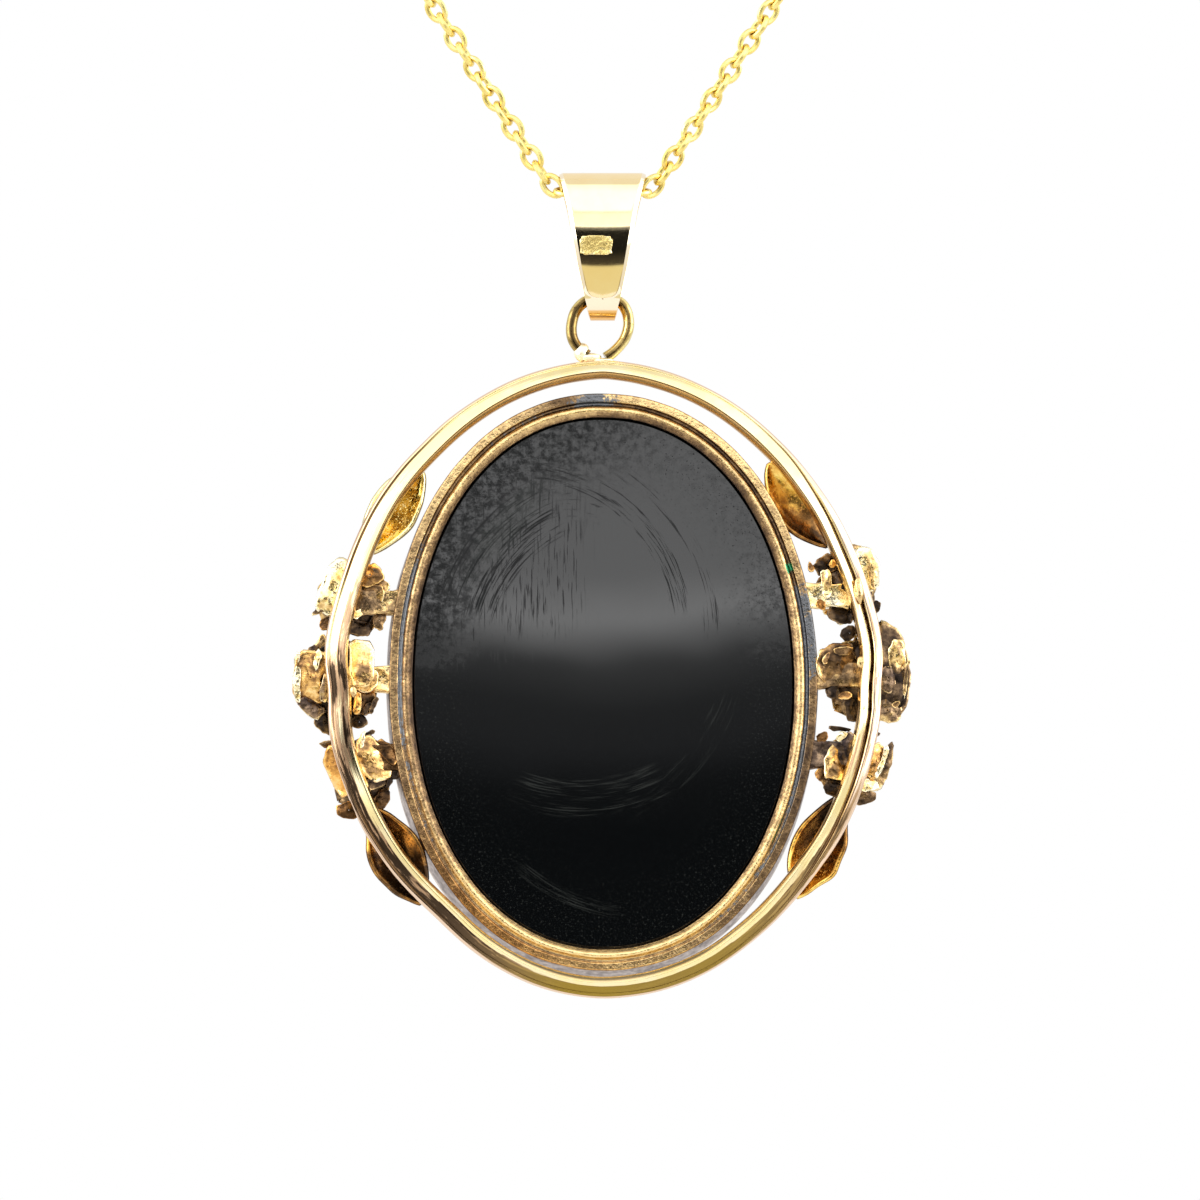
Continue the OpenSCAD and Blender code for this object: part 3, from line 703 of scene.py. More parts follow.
def trace_chain():
    """The whole loop of links, each turned a quarter from the last, and two that hold the clasp."""
    joints, pitch = link_joints()
    template, contact_shade = link_template(pitch, LINK_WIDTH, LINK_WIRE)
    draw = random.Random(7)
    chain = Piece("trace_chain")
    ends = [(-joints[0] * (1, -1), joints[0])]
    for a, b in zip(joints[:-1], joints[1:]):
        ends.append((a, b))
        ends.append((b * (-1, 1), a * (-1, 1)))
    for number, (a, b) in enumerate(ends):
        quarter = 0 if (number + 1) // 2 % 2 else 90
        way = Vector((b[0] - a[0], 0, b[1] - a[1])).normalized()
        twist = math.radians(LINK_TURN + draw.uniform(-LINK_PLAY, LINK_PLAY) + quarter)
        across = Matrix.Rotation(twist, 3, way) @ Vector((way.z, 0, -way.x))
        middle = ((a[0] + b[0]) / 2, 0, (a[1] + b[1]) / 2)
        points = middle + template @ np.array([way, across, way.cross(across)])
        chain.loft(below_chain(points), wrap_rows=True, tone=contact_shade)
    ring, _ = link_template(*END_LINK, 32)
    for side in (1, -1):
        middle = (side * (CLASP_D / 2 - CLASP_WIRE / 2 + END_LINK_OUT), 0, joints[-1][1])
        chain.loft(below_chain(middle + ring * (side, 1, 1)), wrap_rows=True)
    # under: brown painted shade where the links touch one another
    gold = polished_gold("chain_yellow_gold", (0.95, 0.82, 0.34), (0.88, 0.7, 0.22), sheen=0.3,
                         under=(0.5, 0.27, 0.04))
    chain.finish(gold, "chain", "chain_gold", "chain")


def clasp_ring():
    """A plain ring with two small collars, where the hidden clasp closes."""
    turns = circle(96)
    sides = circle(20)
    collar = np.exp(-((np.abs(turns - math.pi / 2) - 0.35) / 0.08) ** 2)
    radius = CLASP_WIRE / 2 * (0.92 + 0.08 * collar)[:, None]
    reach = (CLASP_D - CLASP_WIRE) / 2 + radius * np.cos(sides)
    points = np.stack([reach * np.cos(turns)[:, None], radius * np.sin(sides),
                       reach * np.sin(turns)[:, None] + CLASP_D / 2], -1)
    clasp = Piece("clasp_ring")
    clasp.loft(points * MM, wrap_rows=True)
    gold = polished_gold("clasp_yellow_gold", (1.0, 0.80, 0.34), (0.98, 0.72, 0.24))
    clasp.finish(gold, "chain", "clasp_gold", "clasp")


def bail_outline(top_r, foot_r, side_r, arc=36, side=110):
    """Side outline of the bail: a fold over the chain, one round the hanging ring and two crowned faces."""
    top_z = BAIL_RISE - BAIL_TOP_R
    gap = RING_DROP + top_z
    drop = ((side_r - top_r) ** 2 - (side_r - foot_r) ** 2 + gap ** 2) / (2 * gap)
    reach = math.sqrt((side_r - top_r) ** 2 - drop ** 2)
    at_top = math.atan2(drop, reach)
    at_foot = math.atan2(drop - gap, reach)

    def arc_points(centre_y, centre_z, radius, first, last, count):
        angles = np.linspace(first, last, count, endpoint=False)
        return np.stack([centre_y + radius * np.cos(angles), centre_z + radius * np.sin(angles)], -1)

    return np.concatenate([
        arc_points(0, top_z, top_r, at_top, math.pi - at_top, arc),
        arc_points(reach, top_z - drop, side_r, math.pi - at_top, math.pi - at_foot, side),
        arc_points(0, -RING_DROP, foot_r, math.pi - at_foot, 2 * math.pi + at_foot, arc),
        arc_points(-reach, top_z - drop, side_r, at_foot, at_top, side)])


# Columns of the bail's strip: side, share of the way from its edge to the face and then to its middle,
# share of its thickness
BAIL_SECTION = [
    (-1, 0, 0.4), (-1, 0.5, 0.2), (-1, 0.94, 0.05), (-1, 1, 0.03), (-1, 1.06, 0.025), (-1, 1.5, 0.006),
    (0, 2, 0.0), (1, 1.5, 0.006), (1, 1.06, 0.025), (1, 1, 0.03), (1, 0.94, 0.05), (1, 0.5, 0.2),
    (1, 0, 0.4), (1, 0, 0.85), (1, 0.5, 1.0), (0, 2, 1.0), (-1, 0.5, 1.0), (-1, 0, 0.85),
]


def bail():
    """Folded gold strip: crowned faces between bright bevels that meet in a round end at the foot, a painted
    reflection under it.
    """
    outer = bail_outline(BAIL_TOP_R, BAIL_FOOT_R, BAIL_SIDE_R)
    inner = bail_outline(BAIL_TOP_R - BAIL_TOP_STRIP, BAIL_FOOT_BORE_R, BAIL_SIDE_R - BAIL_STRIP)
    height = outer[:, 1]
    half = np.interp(height, *zip(*sorted(BAIL_SIDE)))
    for _ in range(6):
        half = (np.roll(half, 1) + 2 * half + np.roll(half, -1)) / 4
    round_off = np.clip((BAIL_FACE_END + BAIL_END_ROUND - height) / BAIL_END_ROUND, 0, 1)
    bevel = BAIL_BEVEL + (half - BAIL_BEVEL) * (1 - (1 - round_off ** 3.5) ** (1 / 3.5))
    # painted reflection: the underside is tinted tan as if lit by light bounced off the gold
    underside = np.clip((BAIL_UNDERSIDE - height) / 0.1, 0, 1)
    facet = np.clip((BAIL_FACE_END - height) / 0.12, 0, 1)
    # a thin dark line along the edges of the face, growing darker towards its foot
    seam = np.clip((BAIL_DARK_LINE_START - height) / 1.2, 0, 0.8) * (height > BAIL_FACE_END - 0.1)
    rows = []
    wear = []
    dirt = []
    profile = zip(outer, inner, half, bevel, round_off, facet, seam)
    for edge, inside, width, slope, turn, flat, line in profile:
        row = []
        for side, share, depth in BAIL_SECTION:
            inset = slope * min(share, 1) + (width - slope) * max(share - 1, 0)
            if depth < 0.5:
                depth += (0.12 - depth) * (flat if share >= 1 else turn ** 2)
            row.append((side * (width - inset), *(edge + (inside - edge) * depth)))
        rows.append(row)
        wear.append([max(1.0 * (share < 1), flat) * (depth < 0.5) for _, share, depth in BAIL_SECTION])
        dirt.append([line * (share == 1 and depth < 0.5) for _, share, depth in BAIL_SECTION])
    piece = Piece("bail")
    piece.loft(turned_bail(rows), wrap_rows=True, wear=np.array(wear), film=np.array(dirt),
               tone=underside[:, None])
    gold = polished_gold("bail_gold_polish", (0.98, 0.82, 0.50), (0.97, 0.79, 0.46), sheen=0.05, scuff=0.04,
                         dents=0.5, rim=(0.97, 0.86, 0.66), under=(0.86, 0.50, 0.16), wide=0.25)
    piece.finish(gold, "bail", "bail_gold", "bail", crease=25)


# The bare field on the bail's back: width and height, place across and below the chain's line, and its form
# as share of the way out, how far it is raised, tone
FIELD_SIZE = (2.15, 1.3)
FIELD_PLACE = (-0.42, -3.75)
FIELD_FORM = [
    (1, -0.05, 0.5), (1, 0.01, 0.4), (0.97, 0.03, 0.2), (0.9, 0.035, 0.3), (0.75, 0.02, 0.5),
    (0.5, 0.02, 0.55), (0.25, 0.02, 0.55), (0.02, 0.02, 0.55),
]


def bail_field():
    """A bare, pitted field with rounded corners on the bail's back, where the real one is stamped."""
    outer = bail_outline(BAIL_TOP_R, BAIL_FOOT_R, BAIL_SIDE_R)
    back = outer[(outer[:, 1] < 0) & (outer[:, 0] < 0)]
    back = back[np.argsort(back[:, 1])]
    turns = circle(60)
    edge = oval(*FIELD_SIZE, turns, 5) * (1 + 0.035 * np.sin(9 * turns))[:, None]
    shares, raised, tone = np.array(FIELD_FORM).T[..., None]
    across = FIELD_PLACE[0] + edge[:, 0] * shares
    height = FIELD_PLACE[1] + edge[:, 1] * shares
    depth = np.interp(height, back[:, 1], back[:, 0]) - raised
    rows = rough(np.stack([across, depth, height], -1), 2.6, 0.035)
    piece = Piece("bail_field")
    piece.loft(turned_bail(rows), caps=True, tone=tone)
    tones = [(0.0, (1.0, 0.88, 0.52)), (0.4, (0.82, 0.64, 0.24)), (0.8, (0.34, 0.24, 0.07))]
    gold = aged_gold("field_pitted_gold", tones, spread=0.9, matt=(0.2, 0.35), fineness=1.6)
    piece.finish(gold, "bail", "bail_gold", "bail", crease=60)


# Centre line of the hanging ring's wire, across and up from the hinge, from its cut end round to the solder
RING_LINE = [
    (0.2, -4.0), (0.65, -3.68), (1.12, -3.22), (1.5, -2.65), (1.74, -1.8), (1.62, -0.9), (1.08, -0.2),
    (0.0, 0.0), (-1.05, -0.16), (-1.78, -0.85), (-2.08, -1.85), (-2.0, -2.75), (-1.6, -3.4), (-1.0, -3.85),
]


def hanging_ring():
    """Round wire bent to an open, slightly drop-shaped ring whose lower ends are soldered to the band."""
    line = smooth_line(RING_LINE, 110)
    sides = circle(20)
    points = wire_round(line, right_of(np.gradient(line, axis=0)), RING_WIRE, sides)[..., [0, 2, 1]]
    across = np.cos(sides)
    # painted reflection: darker along the wire's front and back; painted light: lighter towards the right
    # arm
    tone = 0.35 + 0.4 * np.exp(-((across - 0.05) / 0.5) ** 4) - 0.1 * np.clip(across, 0, 1)
    tone = tone - 0.16 * np.clip(line[:, 0] / 1.2, 0, 1)[:, None]
    piece = Piece("hanging_ring")
    piece.loft(hung(rough(points, 0.9, 0.015)), caps=True, tone=tone)
    tones = [(0.0, (0.98, 0.84, 0.46)), (0.2, (0.72, 0.60, 0.24)), (0.4, (0.40, 0.28, 0.10)),
             (0.62, (0.13, 0.085, 0.03)), (0.9, (0.05, 0.03, 0.014))]
    gold = aged_gold("ring_bronzed_gold", tones, spread=0.3, grain=0.25, matt=(0.1, 0.2), fineness=0.7)
    piece.finish(gold, *SETTING)


def blob(middle, size, seed, amount=0.12, steps=20):
    """Uneven rounded lump as rows of points, in millimetres, from its middle and its half sizes."""
    lift = np.linspace(0.02, math.pi - 0.02, steps)[:, None]
    turns = circle(steps + 8)
    points = np.stack([np.sin(lift) * np.cos(turns), np.sin(lift) * np.sin(turns),
                       np.broadcast_to(np.cos(lift), (steps, steps + 8))], -1)
    return rough(points, 1.1, amount, seed) * size + middle


# Lumps of solder: middle across, depth and height, half sizes, seed. The ring's are placed from the hinge,
# the band's, where its split stretch was mended, from the oval's middle.
RING_LUMPS = [
    ((-1.4, 0, -3.65), (0.5, 0.44, 0.62), 1.0), ((-0.85, 0, -4.0), (0.75, 0.42, 0.3), 4.0),
    ((0.0, 0.02, -4.2), (0.7, 0.4, 0.18), 9.0),
]
BAND_LUMPS = [
    ((17.05, -0.5, 1.1), (0.3, 0.22, 0.42), 2.0), ((16.95, -0.55, 5.9), (0.32, 0.2, 0.85), 5.0),
    ((17.1, -0.45, -1.9), (0.18, 0.15, 0.3), 7.0), ((-16.6, -0.5, -0.9), (0.22, 0.15, 0.35), 8.0),
]


def ring_solder():
    piece = Piece("ring_solder")
    for lump in RING_LUMPS:
        piece.loft(hung(blob(*lump)), caps=True)
    gold = polished_gold("solder_pale_gold", (1.0, 0.95, 0.76), (0.98, 0.90, 0.62), sheen=0.4, scuff=0.15)
    piece.finish(gold, *SETTING, crease=60)


def band_solder():
    piece = Piece("band_solder")
    for lump in BAND_LUMPS:
        piece.loft(oval_placed(blob(*lump, 0.25)), caps=True, tone=0.3)
    piece.finish(BEZEL_GOLD, *SETTING, crease=60)


# Outline of the band's bar: share of its width from the inner edge, share of its half depth, dirt
BAND_SECTION = [
    (0, -0.25, 0.0), (0.03, -0.5, 0.0), (0.12, -0.84, 0.0), (0.16, -0.94, 0.0), (0.175, -0.93, -1.0),
    (0.2, -0.95, -1.0), (0.215, -1.0, 0.0), (0.26, -0.99, 0.0), (0.4, -0.89, 0.0), (0.6, -0.72, 0.0),
    (0.74, -0.57, 0.0), (0.77, -0.5, -0.6), (0.78, -0.44, -1.0), (0.82, -0.44, -1.0), (0.835, -0.48, -0.6),
    (0.87, -0.48, 0.4), (0.94, -0.36, 1.0), (1, -0.1, 0.8), (1, 0.5, 0.0), (0.85, 1, 0.0), (0.15, 1, 0.0),
    (0, 0.5, 0.0),
]
# Where in that outline the inner bevel ends, and the groove starts and ends
BAND_RIDGE = 0.2
BAND_GROOVE = (0.77, 0.835)
# Where the groove is bright: angle, spread in degrees
BAND_CLEAN = [(90, 45), (184, 24), (272, 50)]
# Where the groove is moved inward, and where the bar is split along it: angle, spread, sharpness
BAND_MOVED = (0, 40, 6)
BAND_SPLIT = (1, 16, 4)
# Knocks in the band: angle, how far out it is pushed, how far its face turns, spread in degrees
BAND_KNOCKS = [
    (173, 0.12, 0.15, 6), (183, -0.2, -0.25, 5), (194, 0.05, -0.5, 8), (231, -0.42, 0.0, 12),
    (145, 0.1, 0.0, 9), (6, 0.12, 0.2, 5), (-2, -0.1, -0.2, 4), (12, 0.08, 0.1, 6), (90, 0.04, 0.0, 3),
    (-45, -0.2, 0.0, 16),
]
# Worn and stained stretches of the band, mostly on its lower half, which also paint the shade of the dark
# surroundings that it would mirror: angle, spread in degrees, first and last share across, strength, how
# olive
BAND_STAIN_AND_SHADE = [
    (181, 6, 0.1, 0.9, 0.9, 0), (192, 5, 0.1, 0.4, 0.8, 0), (205, 10, 0.5, 0.95, 1.1, 0),
    (230, 19, 0.4, 0.9, 1.7, 0), (168, 10, 0.1, 0.45, 0.6, 0), (190, 15, 0.3, 0.95, 0.33, 0),
    (264, 20, 0.46, 0.93, 1.1, 1), (296, 18, 0.46, 0.93, 1.05, 0.8), (322, 16, 0.45, 0.88, 0.9, 0.3),
    (345, 10, 0.1, 0.45, 0.5, 0), (16, 5, 0.1, 0.5, 0.5, 0), (8, 34, 0.55, 0.95, 0.42, 0),
    (152, 16, 0.84, 1.0, 0.4, 0),
]


def near(turns, angle, spread, sharpness=2):
    """One at an angle round the oval, in degrees, and fading to none past a spread."""
    off = (np.degrees(turns) - angle + 180) % 360 - 180
    return np.exp(-np.abs(off / spread) ** sharpness)


def stretches(turns, share, rows, column, sharpness=2, margin=0.0):
    """Marks on stretches of an oval: one column of rows that begin angle, spread, first and last share."""
    return sum(row[column] * near(turns, row[0], row[1], sharpness)[:, None]
               * ((share > row[2] - margin) & (share < row[3] + margin)) for row in rows)


def band_section(turn, moved, split):
    """The bar's section at one angle: wider bevel at the ends, groove farther in where it is split."""
    ridge = 0.11 + 0.17 * math.sin(turn) ** 2
    start, end = BAND_GROOVE
    middle = (start + end) / 2 - 0.3 * moved
    reach = (end - start) / 2 * (1 + 0.9 * split + 0.6 * max(-math.cos(turn), 0))
    shares = [row[0] for row in BAND_SECTION]
    places = [0, ridge, middle - reach, middle + reach, 1]
    shares = np.interp(shares, [0, BAND_RIDGE, start, end, 1], places)
    line = max(math.sin(turn), 0.4 * math.cos(turn) ** 2)
    seam = 1 - sum(math.exp(-((math.degrees(turn) - angle) / spread) ** 4) for angle, spread in BAND_CLEAN)
    rows = []
    for share, (kept, depth, dirt) in zip(shares, BAND_SECTION):
        in_groove = start <= kept <= end
        if dirt < 0:
            dirt *= seam if in_groove else line
        if in_groove and dirt <= -0.9:
            depth += 0.4 * split
        if kept > end and depth < 0:
            depth -= 0.25 * moved
            dirt = max(dirt, 0.62 * moved)
        rows.append((share, depth, dirt))
    return rows


def outer_band():
    """The outer band's bar: knocked, grooved, split at the right, stained and rubbed, with painted shade on
    its lower half and inner bevel.
    """
    turns = circle(480)
    edge = oval(BAND_W, BAND_H, turns, BAND_POWER)
    out = outward(edge)
    end_bar = np.where(np.sin(turns) > 0, BAND_BAR_TOP, BAND_BAR_BOTTOM)
    bar = end_bar + (BAND_BAR_SIDE - end_bar) * np.cos(turns) ** 2
    moved = near(turns, *BAND_MOVED)
    jagged = np.array([noise.noise(Vector((30 * math.cos(t), 30 * math.sin(t), 0))) for t in turns])
    split = near(turns, *BAND_SPLIT) * (0.8 + 0.5 * jagged) + 0.2 * moved
    push = sum(amount * near(turns, angle, spread) for angle, amount, _, spread in BAND_KNOCKS)
    twist = sum(amount * near(turns, angle, spread) for angle, _, amount, spread in BAND_KNOCKS)
    sections = [band_section(turn, moved[k], split[k]) for k, turn in enumerate(turns)]
    share, behind, dirt = np.moveaxis([smooth_loop(rows, 110) for rows in sections], -1, 0)
    depth = behind * BAND_DEPTH / 2 + twist[:, None] * (share - 0.5) * 0.5
    flat = edge[:, None] + out[:, None] * (push[:, None] + (share - 1) * bar[:, None])[..., None]
    rows = at_depth(flat, depth) + (0, 0, BAND_RAISED)
    # film: stains and painted shade, mostly on the lower half; olive: how olive they are
    film, olive = (stretches(turns, share, BAND_STAIN_AND_SHADE, column) * (behind < 0) for column in (4, 5))
    # painted shade: the inner bevel is tinted tan, most at the top where it faces down
    ridge = 0.1 + 0.17 * np.sin(turns) ** 2
    bevel = (share < ridge[:, None]) * (0.45 + 0.5 * np.clip(np.sin(turns), 0, 1))[:, None]
    piece = Piece("outer_band")
    piece.loft(oval_placed(rough(rows, 0.3, 0.05)), wrap_rows=True, wear=dirt, film=film, warm=olive,
               tone=bevel)
    piece.finish(drawn_gold("band_drawn_gold"), *SETTING, crease=50)


# Outline of the bezel's back: share of the way from the stone to the flange's edge, depth, wear
BEZEL_SECTION = [
    (0, 0.72, -1.0), (0, 0.56, -0.9), (0.04, 0.5, -0.4), (0.1, 0.4, 0.0), (0.18, 0.29, 0.1),
    (0.25, 0.25, 0.6), (0.34, 0.26, 0.6), (0.42, 0.34, 0.4), (0.47, 0.46, -0.3), (0.5, 0.56, -0.7),
    (0.57, 0.6, -0.8), (0.61, 0.54, -0.7), (0.635, 0.45, 0.0), (0.66, 0.405, 0.5), (0.7, 0.4, 0.2),
    (0.82, 0.41, 0.1), (0.95, 0.42, 0.2), (1, 0.5, -0.5), (1, 0.75, 0.0), (0.9, 0.85, 0.0),
    (0.5, 0.95, 0.0), (0.2, 0.95, 0.0),
]
# Where the groove lies in that outline, the depth that it is cut from, where it is cut deep and where the
# flange is amber: angle, spread, sharpness
BEZEL_GROOVE = (0.42, 0.65)
BEZEL_GROOVE_FROM = 0.38
BEZEL_DEEP = (68, 98, 6)
BEZEL_AMBER = (236, 30, 2)
FLANGE_W = 28.45
FLANGE_H = 38.5
OPENING_W = STONE_W - 2 * STONE_HOLD + 0.2
OPENING_H = STONE_H - 2 * STONE_HOLD + 0.2 - STONE_SHORT
# Tarnish film on the bezel: angle, spread in degrees, first and last share across, strength, which is
# below none where the film is green
BEZEL_FILM = [
    (92, 6, 0.47, 1.0, 1.0), (172, 22, 0.47, 0.63, 1.0), (9, 9, 0.47, 1.0, 1.0), (-8, 26, 0.47, 0.63, 1.0),
    (-45, 18, 0.47, 0.63, 0.5), (112, 10, 0.5, 0.62, 0.5), (205, 10, 0.5, 0.6, 0.5),
    (187, 3, 0.6, 1.0, 0.35), (23, 1.2, 0.35, 0.62, -1.4), (-32, 6, 0.42, 0.55, -0.9),
]
# Tone of the bezel: angle, spread in degrees, first and last share across, tone added
BEZEL_TONE = [
    (0, 999, 0.0, 1.0, 0.44), (100, 6, 0.6, 1.0, 0.25), (182, 36, 0.55, 1.0, 0.15),
    (226, 20, 0.6, 1.0, 0.1), (182, 38, 0.0, 0.5, 0.26), (270, 45, 0.0, 0.5, -0.2),
    (10, 50, 0.0, 0.5, 0.1), (325, 26, 0.6, 1.0, 0.2), (356, 24, 0.6, 1.0, 0.19),
    (60, 24, 0.6, 1.0, -0.14), (132, 14, 0.6, 1.0, -0.12), (60, 30, 0.0, 0.2, 0.15),
    (60, 30, 0.45, 0.63, 0.1),
]


def bezel():
    """The bezel's back: an inner wall, a groove and a flat flange, as one ring of sheet."""
    turns = circle(480)
    opening = oval(OPENING_W, OPENING_H, turns, BEZEL_POWER) - (0, STONE_DROP - STONE_SHORT / 2)
    flange = oval(FLANGE_W, FLANGE_H, turns, BEZEL_POWER)
    share, depth, wear = smooth_loop(BEZEL_SECTION, 60).T
    flat = opening[:, None] + (flange - opening)[:, None] * share[:, None]
    cut = (0.35 + 0.65 * near(turns, *BEZEL_DEEP))[:, None]
    start, end = BEZEL_GROOVE
    in_groove = (share > start) & (share < end) & (depth < 0.75)
    depth = np.where(in_groove, BEZEL_GROOVE_FROM + (depth - BEZEL_GROOVE_FROM) * cut, depth)
    wear = np.where(in_groove & (wear < 0), wear * cut, wear)
    rows = at_depth(flat, depth)
    film, tone = (stretches(turns, share, table, 4, 3, 0.02) for table in (BEZEL_FILM, BEZEL_TONE))
    piece = Piece("bezel")
    piece.loft(oval_placed(rough(rows, 0.5, 0.03)), wrap_rows=True, wear=wear, film=film, tone=tone,
               warm=0.7 * near(turns, *BEZEL_AMBER)[:, None] * (share > 0.6))
    piece.finish(BEZEL_GOLD, *SETTING, crease=60)


# Outline of the bezel's box: how far in from its widest, depth
BOX_SECTION = [
    (0.32, 0.6), (0.14, 0.62), (0.1, 0.8), (0.02, 2.2), (0, 3.2), (0.06, 3.52), (0.2, 3.74), (0.5, 3.8),
    (0.9, 3.76), (1.3, 3.6), (1.42, 3.45), (1.3, 3.2), (1.0, 2.0), (0.9, 1.0),
]
# How much farther the box flares at its foot, and where: angle, spread, sharpness
BOX_FLARE = 0.42
BOX_FLARE_AT = (268, 60, 4)


def bezel_box():
    """Thin walls round the stone, flared to the front, with a rolled front rim, their grey a painted
    reflection.
    """
    turns = circle(288)
    wall = oval(BEZEL_W, BEZEL_H, turns, BEZEL_POWER)
    inset, depth = np.array(BOX_SECTION).T
    flare = BOX_FLARE * np.clip((depth - 0.7) / 1.5, 0, 1) * np.clip(1 - inset / 0.9, 0, 1)
    inward = inset - flare * near(turns, *BOX_FLARE_AT)[:, None]
    flat = wall[:, None] - outward(wall)[:, None] * inward[..., None]
    rows = rough(at_depth(flat, depth), 0.4, 0.04)
    in_front = np.clip((depth - 2.6) / 0.6, 0, 1)
    piece = Piece("bezel_box")
    piece.loft(oval_placed(rows), wrap_rows=True, tone=0.74 - 0.6 * in_front, warm=0.8 * in_front)
    # painted reflection: the walls' grey stands in for the pale surroundings that they mirror
    tones = [(0.0, (0.86, 0.78, 0.66)), (0.45, (0.66, 0.60, 0.56)), (0.7, (0.42, 0.37, 0.36)),
             (1.0, (0.12, 0.10, 0.10))]
    gold = aged_gold("box_grey_painted_reflection", tones, spread=0.7, grain=0.5)
    piece.finish(gold, *SETTING, crease=50, rounds=1)


# Form of the stone: share of the girdle, inset from it, share of the thickness
STONE_FORM = [
    (0.5, 0, 0), (0.9, 0, 0), (1, 0.42, 0), (1, 0.36, 0.015), (1, STONE_HOLD, 0.12), (1, 0.02, 0.14),
    (1, 0, 0.16), (1, 0, 0.64), (1, 0.04, 0.66), (1, 0.5, 0.7), (0.93, 0.45, 0.76), (0.85, 0.35, 0.82),
    (0.72, 0.15, 0.885), (0.6, 0, 0.93), (0.45, 0, 0.965), (0.3, 0, 0.99), (0.15, 0, 0.998), (0.02, 0, 1),
]


def stone():
    """The polished plate: a flat back that its bezel holds, a straight girdle and a low domed front."""
    turns = circle(192)
    rows = []
    for share, inset, depth in STONE_FORM:
        short = STONE_SHORT if depth < STONE_BACK_SHARE else 0
        girdle = oval(STONE_W * share - 2 * inset, STONE_H * share - 2 * inset - short, turns, BEZEL_POWER)
        rows.append(at_depth(girdle + (0, short / 2), STONE_BACK + depth * STONE_T))
    rows = np.array(rows)
    in_front = np.array([[depth > 0.5] for _, _, depth in STONE_FORM], float)
    piece = Piece("stone")
    piece.loft(oval_placed(rows - (0, 0, STONE_DROP)), caps=True, tone=in_front)
    flat = rows.reshape(-1, 3)
    piece.lay = [[(flat[corner][0], flat[corner][2]) for corner in face] for face in piece.faces]
    piece.finish(black_agate("polished_black_agate"), "pendant", "black_agate", "stone", crease=30)


def petal(angle, reach, half_width, base, rise, draw, across=10, along=12):
    """A thin front petal as a grid, from the rose's middle out to a rounded rim, and its marks of wear."""
    shares = np.linspace(0, 1, along + 1)[:, None]
    sides = np.linspace(-1, 1, across + 1)[None, :]
    taper = 0.35 + 0.65 * np.sin(np.clip(shares / 0.45, 0, 1) * math.pi / 2)
    far = np.clip((shares - 0.4) / 0.6, 0, 1)
    width = half_width * taper * (1 - far ** 2.2) ** (1 / 2.2) * 0.97 + half_width * 0.03
    lobe = 1 + 0.05 * np.sin(sides * 5 + draw.uniform(0, 6)) + draw.uniform(-0.04, 0.04)
    out = reach * shares * (1 + (lobe - 1) * far)
    cup = 0.28 * half_width * (sides ** 2 - 0.6) * (0.3 + 0.7 * shares)
    curl = 0.12 * np.clip((shares - 0.8) / 0.2, 0, 1) ** 2
    depth = base + rise * shares ** 1.5 + cup + curl
    side = sides * width
    points = at_depth(np.stack(turned(out, side, angle), -1), depth)
    rim = np.maximum(np.clip((shares - 0.85) / 0.15, 0, 1), np.clip((np.abs(sides) - 0.85) / 0.15, 0, 1))
    return rough(points, 0.9, 0.11, draw.uniform(0, 40)), 1.5 * rim - 0.5 * (1 - shares) ** 2


def back_plate(row, draw, rings=11, sides=40):
    """A thin bowed plate as rings of points from its middle to a lit rim, and its marks of wear."""
    x, z, direction, half_length, half_width, square, taper, behind, _, _ = row
    turns = circle(sides)
    shares = np.linspace(0.04, 1, rings)[:, None]
    edge = oval(2 * half_length, 2 * half_width, turns, square)
    edge = edge * (1 + 0.05 * np.sin(3 * turns + draw.uniform(0, 6)) + 0.03 * np.sin(8 * turns))[:, None]
    along = edge[:, 0] * shares
    side = edge[:, 1] * shares * (1 + taper * along / half_length)
    bow = 0.3 * half_width * shares ** 2 - 0.1 * half_width * np.clip((shares - 0.8) / 0.2, 0, 1)
    lean = draw.uniform(-0.22, 0.22) * along + draw.uniform(-0.3, 0.3) * side
    flat = np.stack(turned(along, side, math.radians(direction), x, z), -1)
    seed = draw.uniform(0, 40)
    points = rough(at_depth(flat, ROSE_BACK + behind + bow + lean), 1.1, 0.16, seed)
    rim = 1.3 * np.clip((shares - 0.84) / 0.16, 0, 1)
    return rough(points, 3.0, 0.055, seed), np.broadcast_to(rim - 0.2 * (1 - shares), along.shape)


def covered(x, z, row):
    """How far points lie under a plate: one under it, fading to none a little way outside its outline."""
    middle_x, middle_z, direction, half_length, half_width, square = row[:6]
    along, side = turned(x - middle_x, z - middle_z, -math.radians(direction))
    along = np.abs(along) / half_length
    side = np.abs(side) / half_width
    reach = (along ** square + side ** square) ** (1 / square)
    return np.exp(-np.clip(reach - 1, 0, 9) * half_width / 0.15)


# Rings of front petals: how many, reach, half width, base, rise
PETAL_RINGS = [
    (5, 0.84, 0.5, 0.9, 1.0), (5, 0.72, 0.46, 1.15, 1.5),
    (4, 0.55, 0.4, 1.5, 1.8), (3, 0.38, 0.32, 1.8, 1.85),
]


def bud():
    """The rolled middle of a rose as a grid, and its marks of wear."""
    spiral = np.linspace(0, 3.6 * math.pi, 44)[:, None]
    wound = spiral / spiral[-1]
    lift = np.linspace(0, 1, 9)
    radius = (0.06 + 0.2 * wound) * (1 - 0.25 * lift ** 2)
    depth = 1.6 + (ROSE_DEPTH - 1.75) * lift * (1 - 0.12 * wound)
    return np.stack([radius * np.cos(spiral), depth, radius * np.sin(spiral)], -1), lift ** 3


